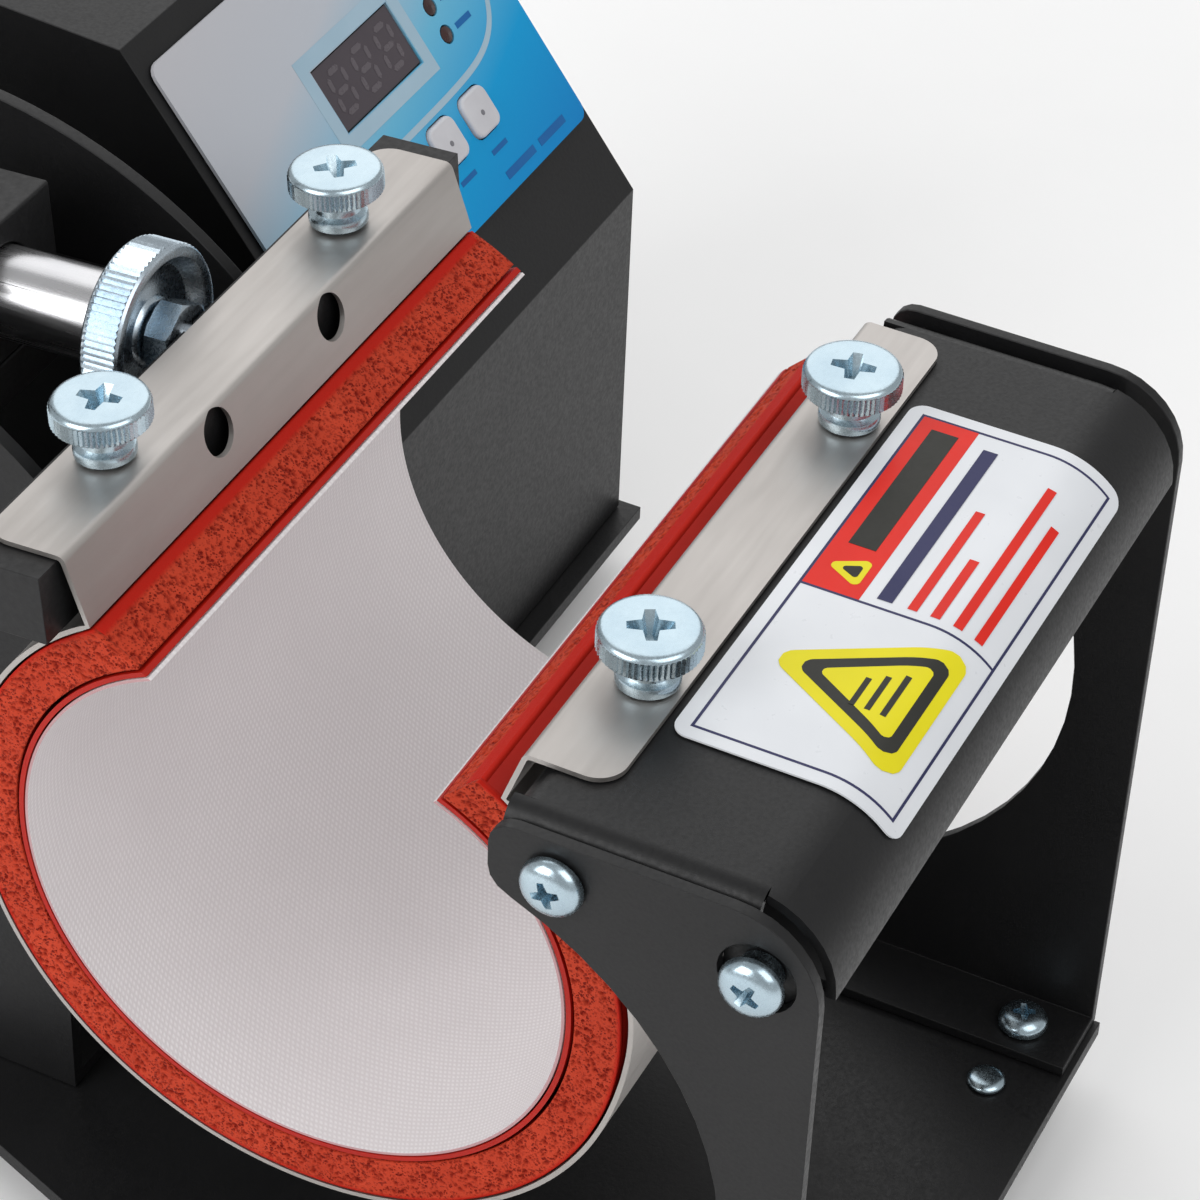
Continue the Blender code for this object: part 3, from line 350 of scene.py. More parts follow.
film = surface("label_film", (0.70, 0.72, 0.75), (0.64, 0.66, 0.69), 0.33, 35, 600, 0.000012)
ink_navy = ink("navy_ink", (0.025, 0.027, 0.085), (0.035, 0.036, 0.1), 0.4, 80)
ink_red = ink("red_ink", (0.70, 0.022, 0.012), (0.62, 0.018, 0.01))
ink_yellow = ink("yellow_ink", (0.74, 0.66, 0.012), (0.68, 0.60, 0.01))
ink_dark = ink("dark_ink", (0.022, 0.022, 0.018), (0.03, 0.03, 0.026), 0.42)
ink_pale = ink("pale_ink", (0.36, 0.50, 0.60), (0.32, 0.46, 0.56), 0.36)
ink_grey = ink("grey_ink", (0.20, 0.20, 0.22), (0.17, 0.17, 0.19), 0.42)
ink_blue = ink("blue_ink", (0.01, 0.11, 0.34), (0.012, 0.13, 0.37), 0.36)
overlay = panel_material()
window = surface("smoked_window", (0.062, 0.05, 0.06), (0.052, 0.042, 0.052), 0.2, 70, 900, 0.000004)
digit = surface("unlit_segment", (0.10, 0.086, 0.098), (0.09, 0.077, 0.088), 0.3, 70, 1200, 0.000006)
key_plastic = surface("key_plastic", (0.58, 0.58, 0.61), (0.52, 0.52, 0.55), 0.42, 120, 1800, 0.00002)
lamp = surface("lamp_lens", (0.045, 0.016, 0.014), (0.03, 0.012, 0.012), 0.25, 400, 1800, 0.000006)


# ------------ mesh tools


def mesh_of(name, builder, sharp):
    bmesh.ops.recalc_face_normals(builder, faces=builder.faces)
    made = bpy.data.meshes.new(name)
    builder.to_mesh(made)
    builder.free()
    made.shade_smooth()
    made.set_sharp_from_angle(angle=math.radians(sharp))
    return made


def place(name, builder, matrix, paints, replaced=(), like=None, sharp=30.0, bends=False):
    """Puts a finished mesh where the matrix says, on the body of the node it replaces or goes with; with bends,
    the placing is baked into the mesh and no body is given.
    """
    bmesh.ops.transform(builder, matrix=matrix, verts=builder.verts)
    made = bpy.data.objects.new(name, mesh_of(name, builder, sharp))
    for paint in paints:
        made.data.materials.append(paint)
    bpy.context.collection.objects.link(made)
    node = like or replaced[0]
    if bends:
        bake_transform(made)
    else:
        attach(made, BODY_OF[node])
    if replaced:
        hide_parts(*replaced)
    return made


def evaluated_copy(made):
    """The piece's mesh with its modifiers applied."""
    bpy.context.view_layer.update()
    graph = bpy.context.evaluated_depsgraph_get()
    return bpy.data.meshes.new_from_object(made.evaluated_get(graph), depsgraph=graph)


def helper(builder):
    """An object of the builder's mesh, to be cut or bevelled and then removed."""
    mesh = bpy.data.meshes.new("helper")
    bmesh.ops.recalc_face_normals(builder, faces=builder.faces)
    builder.to_mesh(mesh)
    builder.free()
    made = bpy.data.objects.new("helper", mesh)
    bpy.context.collection.objects.link(made)
    return made


def finished(target, others=()):
    """The target's evaluated mesh as a new builder; the helpers are removed."""
    made = bmesh.new()
    made.from_mesh(evaluated_copy(target))
    for old in (target, *others):
        bpy.data.objects.remove(old, do_unlink=True)
    return made


def combined(builder, tools, operation="DIFFERENCE"):
    """The builder's solid after each tool is cut from it, or after it is kept inside each tool."""
    target = helper(builder)
    others = [helper(tool) for tool in tools]
    for other in others:
        modifier = target.modifiers.new("tool", "BOOLEAN")
        modifier.operation = operation
        modifier.solver = "EXACT"
        modifier.object = other
    return finished(target, others)


def bevelled(builder, width, segments, angle):
    target = helper(builder)
    modifier = target.modifiers.new("edge", "BEVEL")
    modifier.width = width
    modifier.segments = segments
    modifier.limit_method = "ANGLE"
    modifier.angle_limit = math.radians(angle)
    modifier.use_clamp_overlap = True
    return finished(target)


def softened(node, paint, width, segments=2, angle=28.0, name=None):
    """The CAD node's own shape with its edges eased, in place of the node."""
    builder = bmesh.new()
    builder.from_mesh(frame["nodes"][node].data)
    bmesh.ops.remove_doubles(builder, verts=builder.verts, dist=0.00001)
    bmesh.ops.dissolve_limit(
        builder, angle_limit=math.radians(0.5), verts=builder.verts, edges=builder.edges
    )
    builder = bevelled(builder, width * MM, segments, angle)
    made = place(name or f"{node}_body", builder, Matrix.Identity(4), (paint,), (node,), sharp=38.0)
    weigh = made.modifiers.new("even", "WEIGHTED_NORMAL")
    weigh.keep_sharp = True
    plain = made.data
    made.data = evaluated_copy(made)
    made.modifiers.clear()
    bpy.data.meshes.remove(plain)
    return made


def lathe(profile, steps):
    """A turned solid about Z. A profile row is (radius, height) or (radius, height, knurl depth)."""
    builder = bmesh.new()
    rings = []
    for row in profile:
        radius, height, depth = (*row, 0.0)[:3]
        if radius == 0:
            rings.append([builder.verts.new((0, 0, height))])
            continue
        ring = []
        for i in range(steps):
            angle = math.tau * i / steps
            reach = radius - depth * (i % 2)
            ring.append(builder.verts.new((reach * math.cos(angle), reach * math.sin(angle), height)))
        rings.append(ring)
    for near, far in zip(rings, rings[1:]):
        for i in range(steps):
            after = (i + 1) % steps
            corners = [near[i % len(near)], near[after % len(near)]]
            corners += [far[after % len(far)], far[i % len(far)]]
            builder.faces.new(list(dict.fromkeys(corners)))
    for ring in (rings[0], rings[-1]):
        if len(ring) > 1:
            builder.faces.new(ring)
    return builder


def prism(outline, low, high, shrink=1.0):
    """A prism along Z; shrink scales its lower end."""
    builder = bmesh.new()
    bottom = [builder.verts.new((u * shrink, v * shrink, low)) for u, v in outline]
    top = [builder.verts.new((u, v, high)) for u, v in outline]
    builder.faces.new(bottom)
    builder.faces.new(top)
    for i in range(len(outline)):
        after = (i + 1) % len(outline)
        builder.faces.new((bottom[i], bottom[after], top[after], top[i]))
    return builder


def shifted(builder, x, y):
    bmesh.ops.translate(builder, vec=(x, y, 0), verts=builder.verts)
    return builder


def merged(builders):
    """One bmesh of several."""
    whole = bmesh.new()
    for builder in builders:
        mesh = bpy.data.meshes.new("part")
        builder.to_mesh(mesh)
        builder.free()
        whole.from_mesh(mesh)
        bpy.data.meshes.remove(mesh)
    return whole


def arc(centre_u, centre_v, radius, start, end, steps):
    points = []
    for i in range(steps + 1):
        angle = math.radians(start + (end - start) * i / steps)
        points.append((centre_u + radius * math.cos(angle), centre_v + radius * math.sin(angle)))
    return points


def rounded(low_u, low_v, high_u, high_v, radius, steps=6):
    near_u, near_v, far_u, far_v = low_u + radius, low_v + radius, high_u - radius, high_v - radius
    points = []
    centres = ((far_u, far_v), (near_u, far_v), (near_u, near_v), (far_u, near_v))
    for number, (u, v) in enumerate(centres):
        points += arc(u, v, radius, number * 90, number * 90 + 90, steps)
    return points


def rectangle(low_u, low_v, high_u, high_v):
    return [(low_u, low_v), (high_u, low_v), (high_u, high_v), (low_u, high_v)]


def cross(reach, width):
    """The outline of a cross recess."""
    half = width / 2
    quarter = [(reach, -half), (reach, half), (half * 1.5, half * 1.5)]
    outline = []
    for turn in range(4):
        spin = math.tau * turn / 4
        for u, v in quarter:
            across = u * math.cos(spin) - v * math.sin(spin)
            outline.append((across, u * math.sin(spin) + v * math.cos(spin)))
    return outline


# ------------ heater


def ring_point(angle, offset):
    """A point of the ring in (Y, Z); angle is in degrees from straight down, towards +Y."""
    end = LEFT_END[0] if angle > 0 else -RIGHT_END[0]
    closing = CLOSING[0] if angle > 0 else CLOSING[1]
    share = max(0.0, (abs(angle) - CLOSING_FROM) / (end - CLOSING_FROM))
    radius = BORE_R + offset - closing * share**2
    turn = math.radians(angle)
    return RING_Y + radius * math.sin(turn), RING_Z - radius * math.cos(turn)


def layer_end(ends, offset):
    return ends[0] + (ends[1] - ends[0]) * offset / SPONGE[1]


def layer_point(share, offset, short=0.0):
    """A point of a layer, from its right end at share 0 to its left end at 1, both cut short."""
    start = layer_end(RIGHT_END, offset) + short
    end = layer_end(LEFT_END, offset) - short
    return ring_point(start + (end - start) * share, offset)


def layer_shell(inner, outer, around, x_ends, short=0.0, thick=1):
    """A closed C-shaped shell: steps around its arc, two ends along X, steps through its thickness."""
    builder = bmesh.new()
    uv = builder.loops.layers.uv.new("UVMap")
    length = math.radians(LEFT_END[0] - RIGHT_END[0]) * BORE_R * MM
    verts = {}

    def vert(i, j, k):
        if (i, j, k) not in verts:
            y, z = layer_point(i / around, inner + (outer - inner) * k / thick, short)
            verts[i, j, k] = builder.verts.new((x_ends[j], y, z))
        return verts[i, j, k]

    def face(keys):
        made = builder.faces.new([vert(*key) for key in keys])
        for loop, (i, j, _) in zip(made.loops, keys):
            loop[uv].uv = (x_ends[j] * MM, length * i / around)

    for i in range(around):
        for k in (0, thick):
            face([(i, 0, k), (i + 1, 0, k), (i + 1, 1, k), (i, 1, k)])
        for k in range(thick):
            for j in (0, 1):
                face([(i, j, k), (i + 1, j, k), (i + 1, j, k + 1), (i, j, k + 1)])
    for k in range(thick):
        for i in (0, around):
            face([(i, 0, k), (i, 1, k), (i, 1, k + 1), (i, 0, k + 1)])
    return builder


PORES_PER_SQUARE_MM, PORE_R, PORE_R_SPREAD, PORE_STRETCH = 0.55, 0.26, 0.24, 0.35
PORE_REACH, PORE_STEEPNESS, PORE_DEPTH = 1.4, 1.5, 0.4


def pores(points, extent, seed):
    """How deep in a pore each point of a flat cut face is, from 0 to 1."""
    random = np.random.default_rng(seed)
    count = int(extent[0] * extent[1] * PORES_PER_SQUARE_MM)
    centres = random.random((count, 2)) * np.array(extent)
    radius = PORE_R + PORE_R_SPREAD * random.random(count) ** 2.0
    lean = random.random(count) * math.pi
    long = 1.0 + PORE_STRETCH * random.random(count)
    depth = np.zeros(len(points))
    order = np.argsort(centres[:, 0])
    centres, radius, lean, long = centres[order], radius[order], lean[order], long[order]
    low = np.searchsorted(centres[:, 0], points[:, 0] - PORE_REACH)
    high = np.searchsorted(centres[:, 0], points[:, 0] + PORE_REACH)
    for index in range(len(points)):
        near = slice(low[index], high[index])
        away = points[index] - centres[near]
        turn_c, turn_s = np.cos(lean[near]), np.sin(lean[near])
        first = (away[:, 0] * turn_c + away[:, 1] * turn_s) / (radius[near] * long[near])
        second = (-away[:, 0] * turn_s + away[:, 1] * turn_c) / radius[near]
        inside = 1.0 - np.sqrt(first**2 + second**2)
        if len(inside):
            depth[index] = max(0.0, inside.max())
    return np.clip(depth * PORE_STEEPNESS, 0.0, 1.0)


def cut_face(name, rows, columns, at, inward, extent, seed, skin_from):
    """A slab whose outer side is a cut through foam: a fine grid sunk into pores, with a plain back.

    at(i, j) gives the place of a grid point, column j running through the layer's thickness. From the
    share skin_from of the thickness on, the face is smooth skin instead of cut foam.
    """
    points = []
    for i in range(rows + 1):
        for j in range(columns + 1):
            points.append((extent[0] * i / rows, extent[1] * j / columns))
    depth = pores(np.array(points), extent, seed)
    builder = bmesh.new()
    pore = builder.verts.layers.float.new("pore")
    skin = builder.verts.layers.float.new("skin")
    grid = []
    inward = Vector(inward)
    for i in range(rows + 1):
        line = []
        for j in range(columns + 1):
            smooth = min(1.0, max(0.0, (j / columns - skin_from) / 0.08))
            edge = i in (0, rows) or j in (0, columns)
            sunk = 0.0 if edge else depth[i * (columns + 1) + j] * (1.0 - smooth)
            vert = builder.verts.new(Vector(at(i, j)) + inward * (PORE_DEPTH * sunk))
            # The pore depth goes to the sponge material, which paints shade into the pores with it.
            vert[pore] = sunk
            vert[skin] = smooth
            line.append(vert)
        grid.append(line)
    for i in range(rows):
        for j in range(columns):
            builder.faces.new((grid[i][j], grid[i + 1][j], grid[i + 1][j + 1], grid[i][j + 1]))
    rim = [grid[i][0] for i in range(rows)] + [grid[rows][j] for j in range(columns)]
    rim += [grid[i][columns] for i in range(rows, 0, -1)] + [grid[0][j] for j in range(columns, 0, -1)]
    back = [builder.verts.new(vert.co + inward * 1.0) for vert in rim]
    for vert, front in zip(back, rim):
        vert[skin] = front[skin]
    for i in range(len(rim)):
        after = (i + 1) % len(rim)
        builder.faces.new((rim[i], rim[after], back[after], back[i]))
    builder.faces.new(back)
    return place(name, builder, PRESS, (cut_red,), like="heater_sponge", bends=True, sharp=180.0)


def filleted(path, number, radius, steps=6):
    """The path with the corner at one point rounded."""
    corner = Vector(path[number])
    before = (Vector(path[number - 1]) - corner).normalized()
    after = (Vector(path[number + 1]) - corner).normalized()
    half = before.angle(after) / 2
    reach = radius / math.tan(half)
    centre = corner + (before + after).normalized() * (radius / math.sin(half))
    first = corner + before * reach - centre
    second = corner + after * reach - centre
    points = []
    for i in range(steps + 1):
        share = i / steps
        direction = (first.normalized() * (1 - share) + second.normalized() * share).normalized()
        points.append(tuple(centre + direction * radius))
    return path[:number] + points + path[number + 1 :]


def subdivided(path, longest):
    points = [path[0]]
    for near, far in zip(path, path[1:]):
        pieces = max(1, math.ceil(math.dist(near, far) / longest))
        for i in range(1, pieces + 1):
            points.append(tuple(Vector(near).lerp(Vector(far), i / pieces)))
    return points


def sheet_outline(path, thickness):
    """Both sides of a sheet that follows a path, each as a list of points."""
    sides = ([], [])
    for i, point in enumerate(path):
        before = Vector(path[max(0, i - 1)])
        after = Vector(path[min(len(path) - 1, i + 1)])
        along = (after - before).normalized()
        normal = Vector((-along.y, along.x)) * (thickness / 2)
        sides[0].append(tuple(Vector(point) + normal))
        sides[1].append(tuple(Vector(point) - normal))
    return sides


def make_band():
    """The steel band with its two folded ears, corner radii and holes."""
    middle = (BAND[0] + BAND[1]) / 2
    right = RIGHT_END[0] + 6.3
    left = LEFT_END[1]
    slope = math.radians(-TILT)
    ear_end = (LEFT_FOLD[0] + EAR_WIDTH * math.cos(slope), LEFT_FOLD[1] + EAR_WIDTH * math.sin(slope))
    path = [RIGHT_EAR, RIGHT_FOLD]
    for i in range(AROUND + 1):
        angle = right + (left - right) * i / AROUND
        bulge = BAND_BULGE * math.exp(-(((angle - BULGE_AT) / BULGE_SPREAD) ** 2))
        path.append(ring_point(angle, middle + bulge))
    path += [LEFT_FOLD, ear_end]
    path = filleted(path, len(path) - 2, FOLD_R)
    path = filleted(path, 1, FOLD_R)
    path = subdivided(path, 2.5)
    inner, outer = sheet_outline(path, BAND[1] - BAND[0])
    outline = inner + list(reversed(outer))
    builder = prism(outline, HEATER_X[0], HEATER_X[1])
    bmesh.ops.transform(builder, matrix=AXES_TO_YZX, verts=builder.verts)
    tools = []
    for places, y, ear_z in ((FIXED_SCREW_X, SCREW_Y[0], 47), (JAW_SCREW_X, SCREW_Y[1], 50)):
        for x in places:
            tools.append(shifted(lathe([(SCREW_HOLE_R, ear_z), (SCREW_HOLE_R, 62)], 40), x, y))
    for x in FLANGE_HOLES_X:
        hole = lathe([(FLANGE_HOLE_R, -8), (FLANGE_HOLE_R, 8)], 48)
        centre = Matrix.Translation((x, 34, FLANGE_HOLE_Z))
        bmesh.ops.transform(hole, matrix=centre @ TO_Y, verts=hole.verts)
        tools.append(hole)
    for x, side in ((HEATER_X[0], 1), (HEATER_X[1], -1)):
        for y, way in ((RIGHT_EAR[0], 1), (ear_end[0], -1)):
            centre = (x + side * EAR_CORNER_R, y + way * EAR_CORNER_R)
            curve = arc(0, 0, EAR_CORNER_R, 180, 270, 10)
            curve = [(centre[0] + side * u, centre[1] + way * v) for u, v in curve]
            tools.append(prism(curve + [(x - side * 2, y - way * 2)], 45, 62))
    builder = combined(builder, tools)
    place("heater_band_sheet", builder, PRESS, (steel,), ("heater_band",), bends=True, sharp=35.0)


def make_sponge():
    """The foam's body, a little short on four sides, and the cut faces that end it there."""
    x_ends = (HEATER_X[0] + 1.0, HEATER_X[1] - 1.0)
    body = layer_shell(*SPONGE, 150, x_ends, 1.05, 2)
    foam = place("heater_sponge_body", body, PRESS, (red_skin,), ("heater_sponge",), bends=True)
    thickness = SPONGE[1] - SPONGE[0]
    around, through = 860, 24
    length = math.radians(LEFT_END[1] - RIGHT_END[1]) * (BORE_R + 6)
    for name, x, way in (("sponge_cut_front", HEATER_X[0], 1), ("sponge_cut_rear", HEATER_X[1], -1)):

        def on_end(i, j, x=x):
            return (x, *layer_point(i / around, SPONGE[0] + thickness * j / through))

        cut_face(name, around, through, on_end, (way, 0, 0), (length, thickness), 3 + way, 0.9)
    along = 380
    width = HEATER_X[1] - HEATER_X[0] - 2.0
    middle = (SPONGE[0] + SPONGE[1]) / 2
    for name, share, seed, skin in (
        ("sponge_cut_right", 0.0, 11, 0.5),
        ("sponge_cut_left", 1.0, 12, 0.74),
    ):

        def on_top(i, j, share=share):
            x = x_ends[0] + width * i / along
            return (x, *layer_point(share, SPONGE[0] + thickness * j / through))

        ahead = Vector(layer_point(0.5 + 0.49 * (share * 2 - 1), middle))
        edge = Vector(layer_point(share, middle))
        inward = (ahead - edge).normalized()
        cut_face(name, along, through, on_top, (0, inward.x, inward.y), (width, thickness), seed, skin)


def make_mat_and_lining():
    mat = layer_shell(*MAT, AROUND, HEATER_X)
    place("heater_mat_skin", mat, PRESS, (red_skin,), ("heater_mat",), bends=True)
    cloths = (cloth, cloth_edge)
    lining = layer_shell(*LINING, AROUND, HEATER_X)
    for face in lining.faces:
        across = {round(vert.co.x, 3) for vert in face.verts}
        face.material_index = cloths.index(cloth_edge if len(across) == 1 else cloth)
    lining = place("heater_lining_cloth", lining, PRESS, cloths, ("heater_lining",), bends=True)


# ------------ fasteners


def thumb_screw():
    """Knurled head with a cross recess, waisted neck, flanged collar and shank; zero is the seat."""
    profile = [(0, -9.5), (2.0, -9.5), (2.35, -8.9), (2.35, 0), (4.4, 0), (4.8, 0.35), (4.85, 0.8)]
    profile += [(4.85, 1.5), (4.7, 1.95), (4.3, 2.2), (3.9, 2.6), (3.8, 3.2), (3.8, 5.0), (4.2, 5.7)]
    profile += [(6.6, 5.8), (7.3, 5.95), (7.5, 6.1, 0.05), (7.75, 6.35, 0.45), (7.75, 8.9, 0.45)]
    profile += [(7.63, 9.15, 0.08), (7.55, 9.3), (7.3, 9.7), (6.9, 9.92), (6.4, 10.02), (5.8, 10.05)]
    profile += [(3.8, 10.12), (0, 10.18)]
    head = lathe(profile, 116)
    return combined(head, [prism(cross(3.7, 1.7), 7.0, 10.6, 0.45)])


def pan_screw(radius, height, shank, shaft, collar=0.0, recess=True):
    """A domed head over its seat at zero, pointing along +Z; shaft is the shank's radius."""
    profile = [(0, -shank - collar), (shaft, -shank - collar), (shaft, -collar)]
    if collar:
        profile += [(radius * 0.7, -collar), (radius * 0.7, 0)]
    profile += [(radius * 0.94, 0), (radius, height * 0.08), (radius, height * 0.24)]
    for i in range(1, 9):
        turn = math.radians(i * 90 / 8)
        reach = radius * math.cos(turn) ** 0.62 if i < 8 else 0
        profile.append((reach, height * (0.24 + 0.76 * math.sin(turn))))
    head = lathe(profile, 48)
    if not recess:
        return head
    depth = height * 0.28
    return combined(head, [prism(cross(radius * 0.52, radius * 0.23), depth, height + 0.5, 0.5)])


def middle_of(node):
    low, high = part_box(node)
    return (low + high) / 2


def at_point(point, turn=Matrix.Identity(4), spin=0.0):
    """Places a piece that is modelled in millimetres along +Z at a point of the whole press."""
    return Matrix.Translation(point) @ Matrix.Scale(MM, 4) @ turn @ turned(spin, "Z")


def make_fasteners():
    seat_z = RIGHT_EAR[1] + (BAND[1] - BAND[0]) / 2 + 0.3
    up = (JAW.to_3x3() @ Vector((0, 0, 1))).normalized()
    for number, fixed_spin, jaw_spin in ((1, 28, 8), (2, 12, 40)):
        x = FIXED_SCREW_X[number - 1]
        node = f"thumb_screw_fixed_{number}"
        matrix = PRESS @ Matrix.Translation((x, SCREW_Y[0], seat_z)) @ turned(fixed_spin, "Z")
        place(f"{node}_knurled", thumb_screw(), matrix, (zinc,), (node,))
        node = f"thumb_screw_jaw_{number}"
        seat = middle_of(node) + up * ((SCREW_SHANK - SCREW_HEAD) / 2) * MM
        matrix = at_point(seat, turned(-TILT, "X"), jaw_spin)
        place(f"{node}_knurled", thumb_screw(), matrix, (zinc,), (node,))
    for node, turn, size, spin in (
        ("cover_screw_1", TO_LESS_X, (4.8, 3.0, 8.0, 2.3), 20),
        ("cover_screw_2", TO_LESS_X, (4.8, 3.0, 5.0, 2.3, 3.0), 62),
        ("spacer_screw_1", TO_X, (4.8, 3.0, 9.0, 2.3), 10),
        ("spacer_screw_2", TO_X, (4.8, 3.0, 9.0, 2.3), 55),
        ("bridge_screw_1", TO_LESS_X, (4.8, 3.0, 13.0, 2.3), 35),
        ("bridge_screw_2", TO_X, (4.8, 3.0, 13.0, 2.3), 70),
        ("base_screw", Matrix.Identity(4), (4.4, 3.0, 5.0, 2.3), 25),
        ("base_rivet", Matrix.Identity(4), (3.4, 1.4, 3.0, 1.6, 0.0, False), 0),
    ):
        low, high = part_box(node)
        out = (turn @ Vector((0, 0, 1))).normalized()
        whole = sum(abs(a * b) for a, b in zip(high - low, out))
        tip = middle_of(node) + out * (whole / 2)
        seat = tip - out * size[1] * MM
        place(f"{node}_head", pan_screw(*size), at_point(seat, turn, spin), (zinc,), (node,))


def make_wheel_and_nut():
    first, last = 4.0, 11.4
    dish = first + 3.6
    profile = [(3.0, first + 1.9), (5.0, first + 1.8), (5.6, first + 2.1), (6.0, dish - 0.9)]
    profile += [(7.2, dish - 0.4), (8.3, dish), (10.0, dish), (10.9, dish - 0.4), (11.6, dish - 1.4)]
    profile += [(12.1, first + 0.6), (12.5, first + 0.1), (13.5, first), (14.1, first + 0.2)]
    profile += [(14.45, first + 0.6, 0.05), (14.6, first + 0.85, 0.62), (14.6, last - 1.0, 0.62)]
    profile += [(14.45, last - 0.75, 0.05), (14.0, last - 0.3), (13.2, last), (3.0, last)]
    builder = lathe(profile, 156)
    bmesh.ops.delete(
        builder, geom=[face for face in builder.faces if len(face.verts) > 4], context="FACES_ONLY"
    )
    loops = [edge for edge in builder.edges if edge.is_boundary]
    bmesh.ops.bridge_loops(builder, edges=loops)
    place("pressure_wheel_knurled", builder, JAW @ TO_Y, (nut_zinc,), ("pressure_wheel",))
    body = lathe([(0, 0.3), (5.8, 0.3), (6.55, 0.7), (6.55, 4.4), (5.8, 4.8), (0, 4.8)], 72)
    hexagon = prism(arc(0, 0, 6.5, 30, 330, 5), -2, 8)
    nut = combined(body, [hexagon], "INTERSECT")
    place("jaw_nut_chamfered", nut, JAW @ TO_Y, (nut_zinc,), ("jaw_nut",), sharp=20.0)


# ------------ label and panel


def sliced(outline, first):
    """A flat face of the outline in (U, V), cut at every millimetre of V from the first on, to bend."""
    builder = bmesh.new()
    builder.faces.new([builder.verts.new((u, v, 0)) for u, v in outline])
    top = max(v for _, v in outline)
    level = first
    while level < top:
        parts = builder.verts[:] + builder.edges[:] + builder.faces[:]
        bmesh.ops.bisect_plane(builder, geom=parts, plane_co=(0, level, 0), plane_no=(0, 1, 0))
        level += 1.0
    return builder


def raised(builder, low, high):
    """Gives flat faces a thickness from low to high."""
    bmesh.ops.translate(builder, vec=(0, 0, low), verts=builder.verts)
    made = bmesh.ops.extrude_face_region(builder, geom=builder.faces[:], use_keep_orig=True)
    moved = [item for item in made["geom"] if isinstance(item, bmesh.types.BMVert)]
    bmesh.ops.translate(builder, vec=(0, 0, high - low), verts=moved)
    return builder


def bent_to_cover(builder):
    """Lays (U, V, height) on the cover: U along X, V outwards and down over the rounded edge."""
    for vert in builder.verts:
        u, v, lift = vert.co
        turn = max(0.0, v - LABEL_FLAT) / LABEL_R
        reach = LABEL_R + lift
        y = LABEL_Y - min(v, LABEL_FLAT) - reach * math.sin(turn)
        z = COVER_TOP - COVER_CORNER_R + reach * math.cos(turn)
        vert.co = (LABEL_X[0] + u, y, z)
    return builder


def print_piece(name, shapes, matrix, like, low, high, bend=None):
    """One piece of all the printed shapes; shapes lists (outline, ink), and each ink is a slot."""
    inks = list(dict.fromkeys(ink for _, ink in shapes))
    builders = []
    for outline, ink in shapes:
        builder = sliced(outline, LABEL_FLAT if bend else math.inf)
        raised(builder, low, high)
        for face in builder.faces:
            face.material_index = inks.index(ink)
        if bend:
            bend(builder)
        bmesh.ops.recalc_face_normals(builder, faces=builder.faces)
        builders.append(builder)
    return place(name, merged(builders), matrix, inks, like=like, sharp=20.0)


def round_triangle(corners, radius):
    path = [*corners, corners[0], corners[1]]
    outline = []
    for i in range(1, 4):
        outline += filleted(path[i - 1 : i + 2], 1, radius, 5)[1:-1]
    return outline


def bordered(low_u, low_v, high_u, high_v, line):
    """The four bars of a rectangular border."""
    return [
        rectangle(low_u, low_v, high_u, low_v + line),
        rectangle(low_u, high_v - line, high_u, high_v),
        rectangle(low_u, low_v + line, low_u + line, high_v - line),
        rectangle(high_u - line, low_v + line, high_u, high_v - line),
    ]


def strip(path, width):
    """The outline of a line of the given width along a path."""
    left, right = sheet_outline(path, width)
    return left + list(reversed(right))


def make_label():
    """The film and its print: a border, a red header over plain lines, and a triangle beside them."""
    long, wide = LABEL_SIZE
    base = raised(sliced(rounded(0, 0, long, wide, 2.6), LABEL_FLAT), -0.15, 0.15)
    place("label_film_sheet", bent_to_cover(base), PRESS, (film,), ("label_plate",), sharp=40.0)
    edge, line, divider, header_top = 2.3, 0.45, 38.6, 11.8
    low, left, right = edge + line, divider + line, long - edge - line
    outlines = bordered(edge, edge, long - edge, wide - edge, line)
    outlines.append(rectangle(divider, low, left, wide - edge - line))
    border = [(outline, ink_navy) for outline in outlines]
    border.append((rectangle(left, low, right, header_top), ink_red))

    marks = [(rectangle(left + 11.5, low + 2.3, right - 2.6, header_top - 2.3), ink_dark)]
    small = ((left + 2.2, header_top - 1.4), (left + 9.4, header_top - 1.4), (left + 5.8, low + 1.2))
    marks.append((round_triangle(small, 0.9), ink_yellow))
    marks.append((rectangle(left + 1.6, header_top + 2.2, right - 3.5, header_top + 4.6), ink_navy))
    for number, reach in enumerate((26.0, 15.0, 37.0, 30.0)):
        start = header_top + 7.0 + number * 3.6
        marks.append((rectangle(left + 1.6, start, left + 1.6 + reach, start + 1.5), ink_red))
    marks.append((round_triangle(((22.0, 4.6), (38.0, 31.4), (6.0, 31.4)), 2.6), ink_yellow))

    small = ((left + 4.1, header_top - 2.3), (left + 7.5, header_top - 2.3), (left + 5.8, low + 3.4))
    insets = [(round_triangle(((22.0, 8.8), (34.3, 29.5), (9.7, 29.5)), 1.9), ink_dark)]
    insets.append((round_triangle(small, 0.5), ink_dark))
    middle = [(round_triangle(((22.0, 12.8), (31.1, 27.7), (12.9, 27.7)), 1.0), ink_yellow)]
    bars = []
    for i in range(3):
        bars.append((rectangle(17.2, 24.6 - 2.4 * i, 26.8 - 1.6 * i, 25.5 - 2.4 * i), ink_dark))
    for name, shapes, under, over in (
        ("label_print", border, 0.16, 0.20),
        ("label_marks", marks, 0.21, 0.25),
        ("label_triangles", insets, 0.26, 0.29),
        ("label_middle", middle, 0.30, 0.33),
        ("label_bars", bars, 0.34, 0.37),
    ):
        print_piece(name, shapes, PRESS, "label_plate", under, over, bent_to_cover)


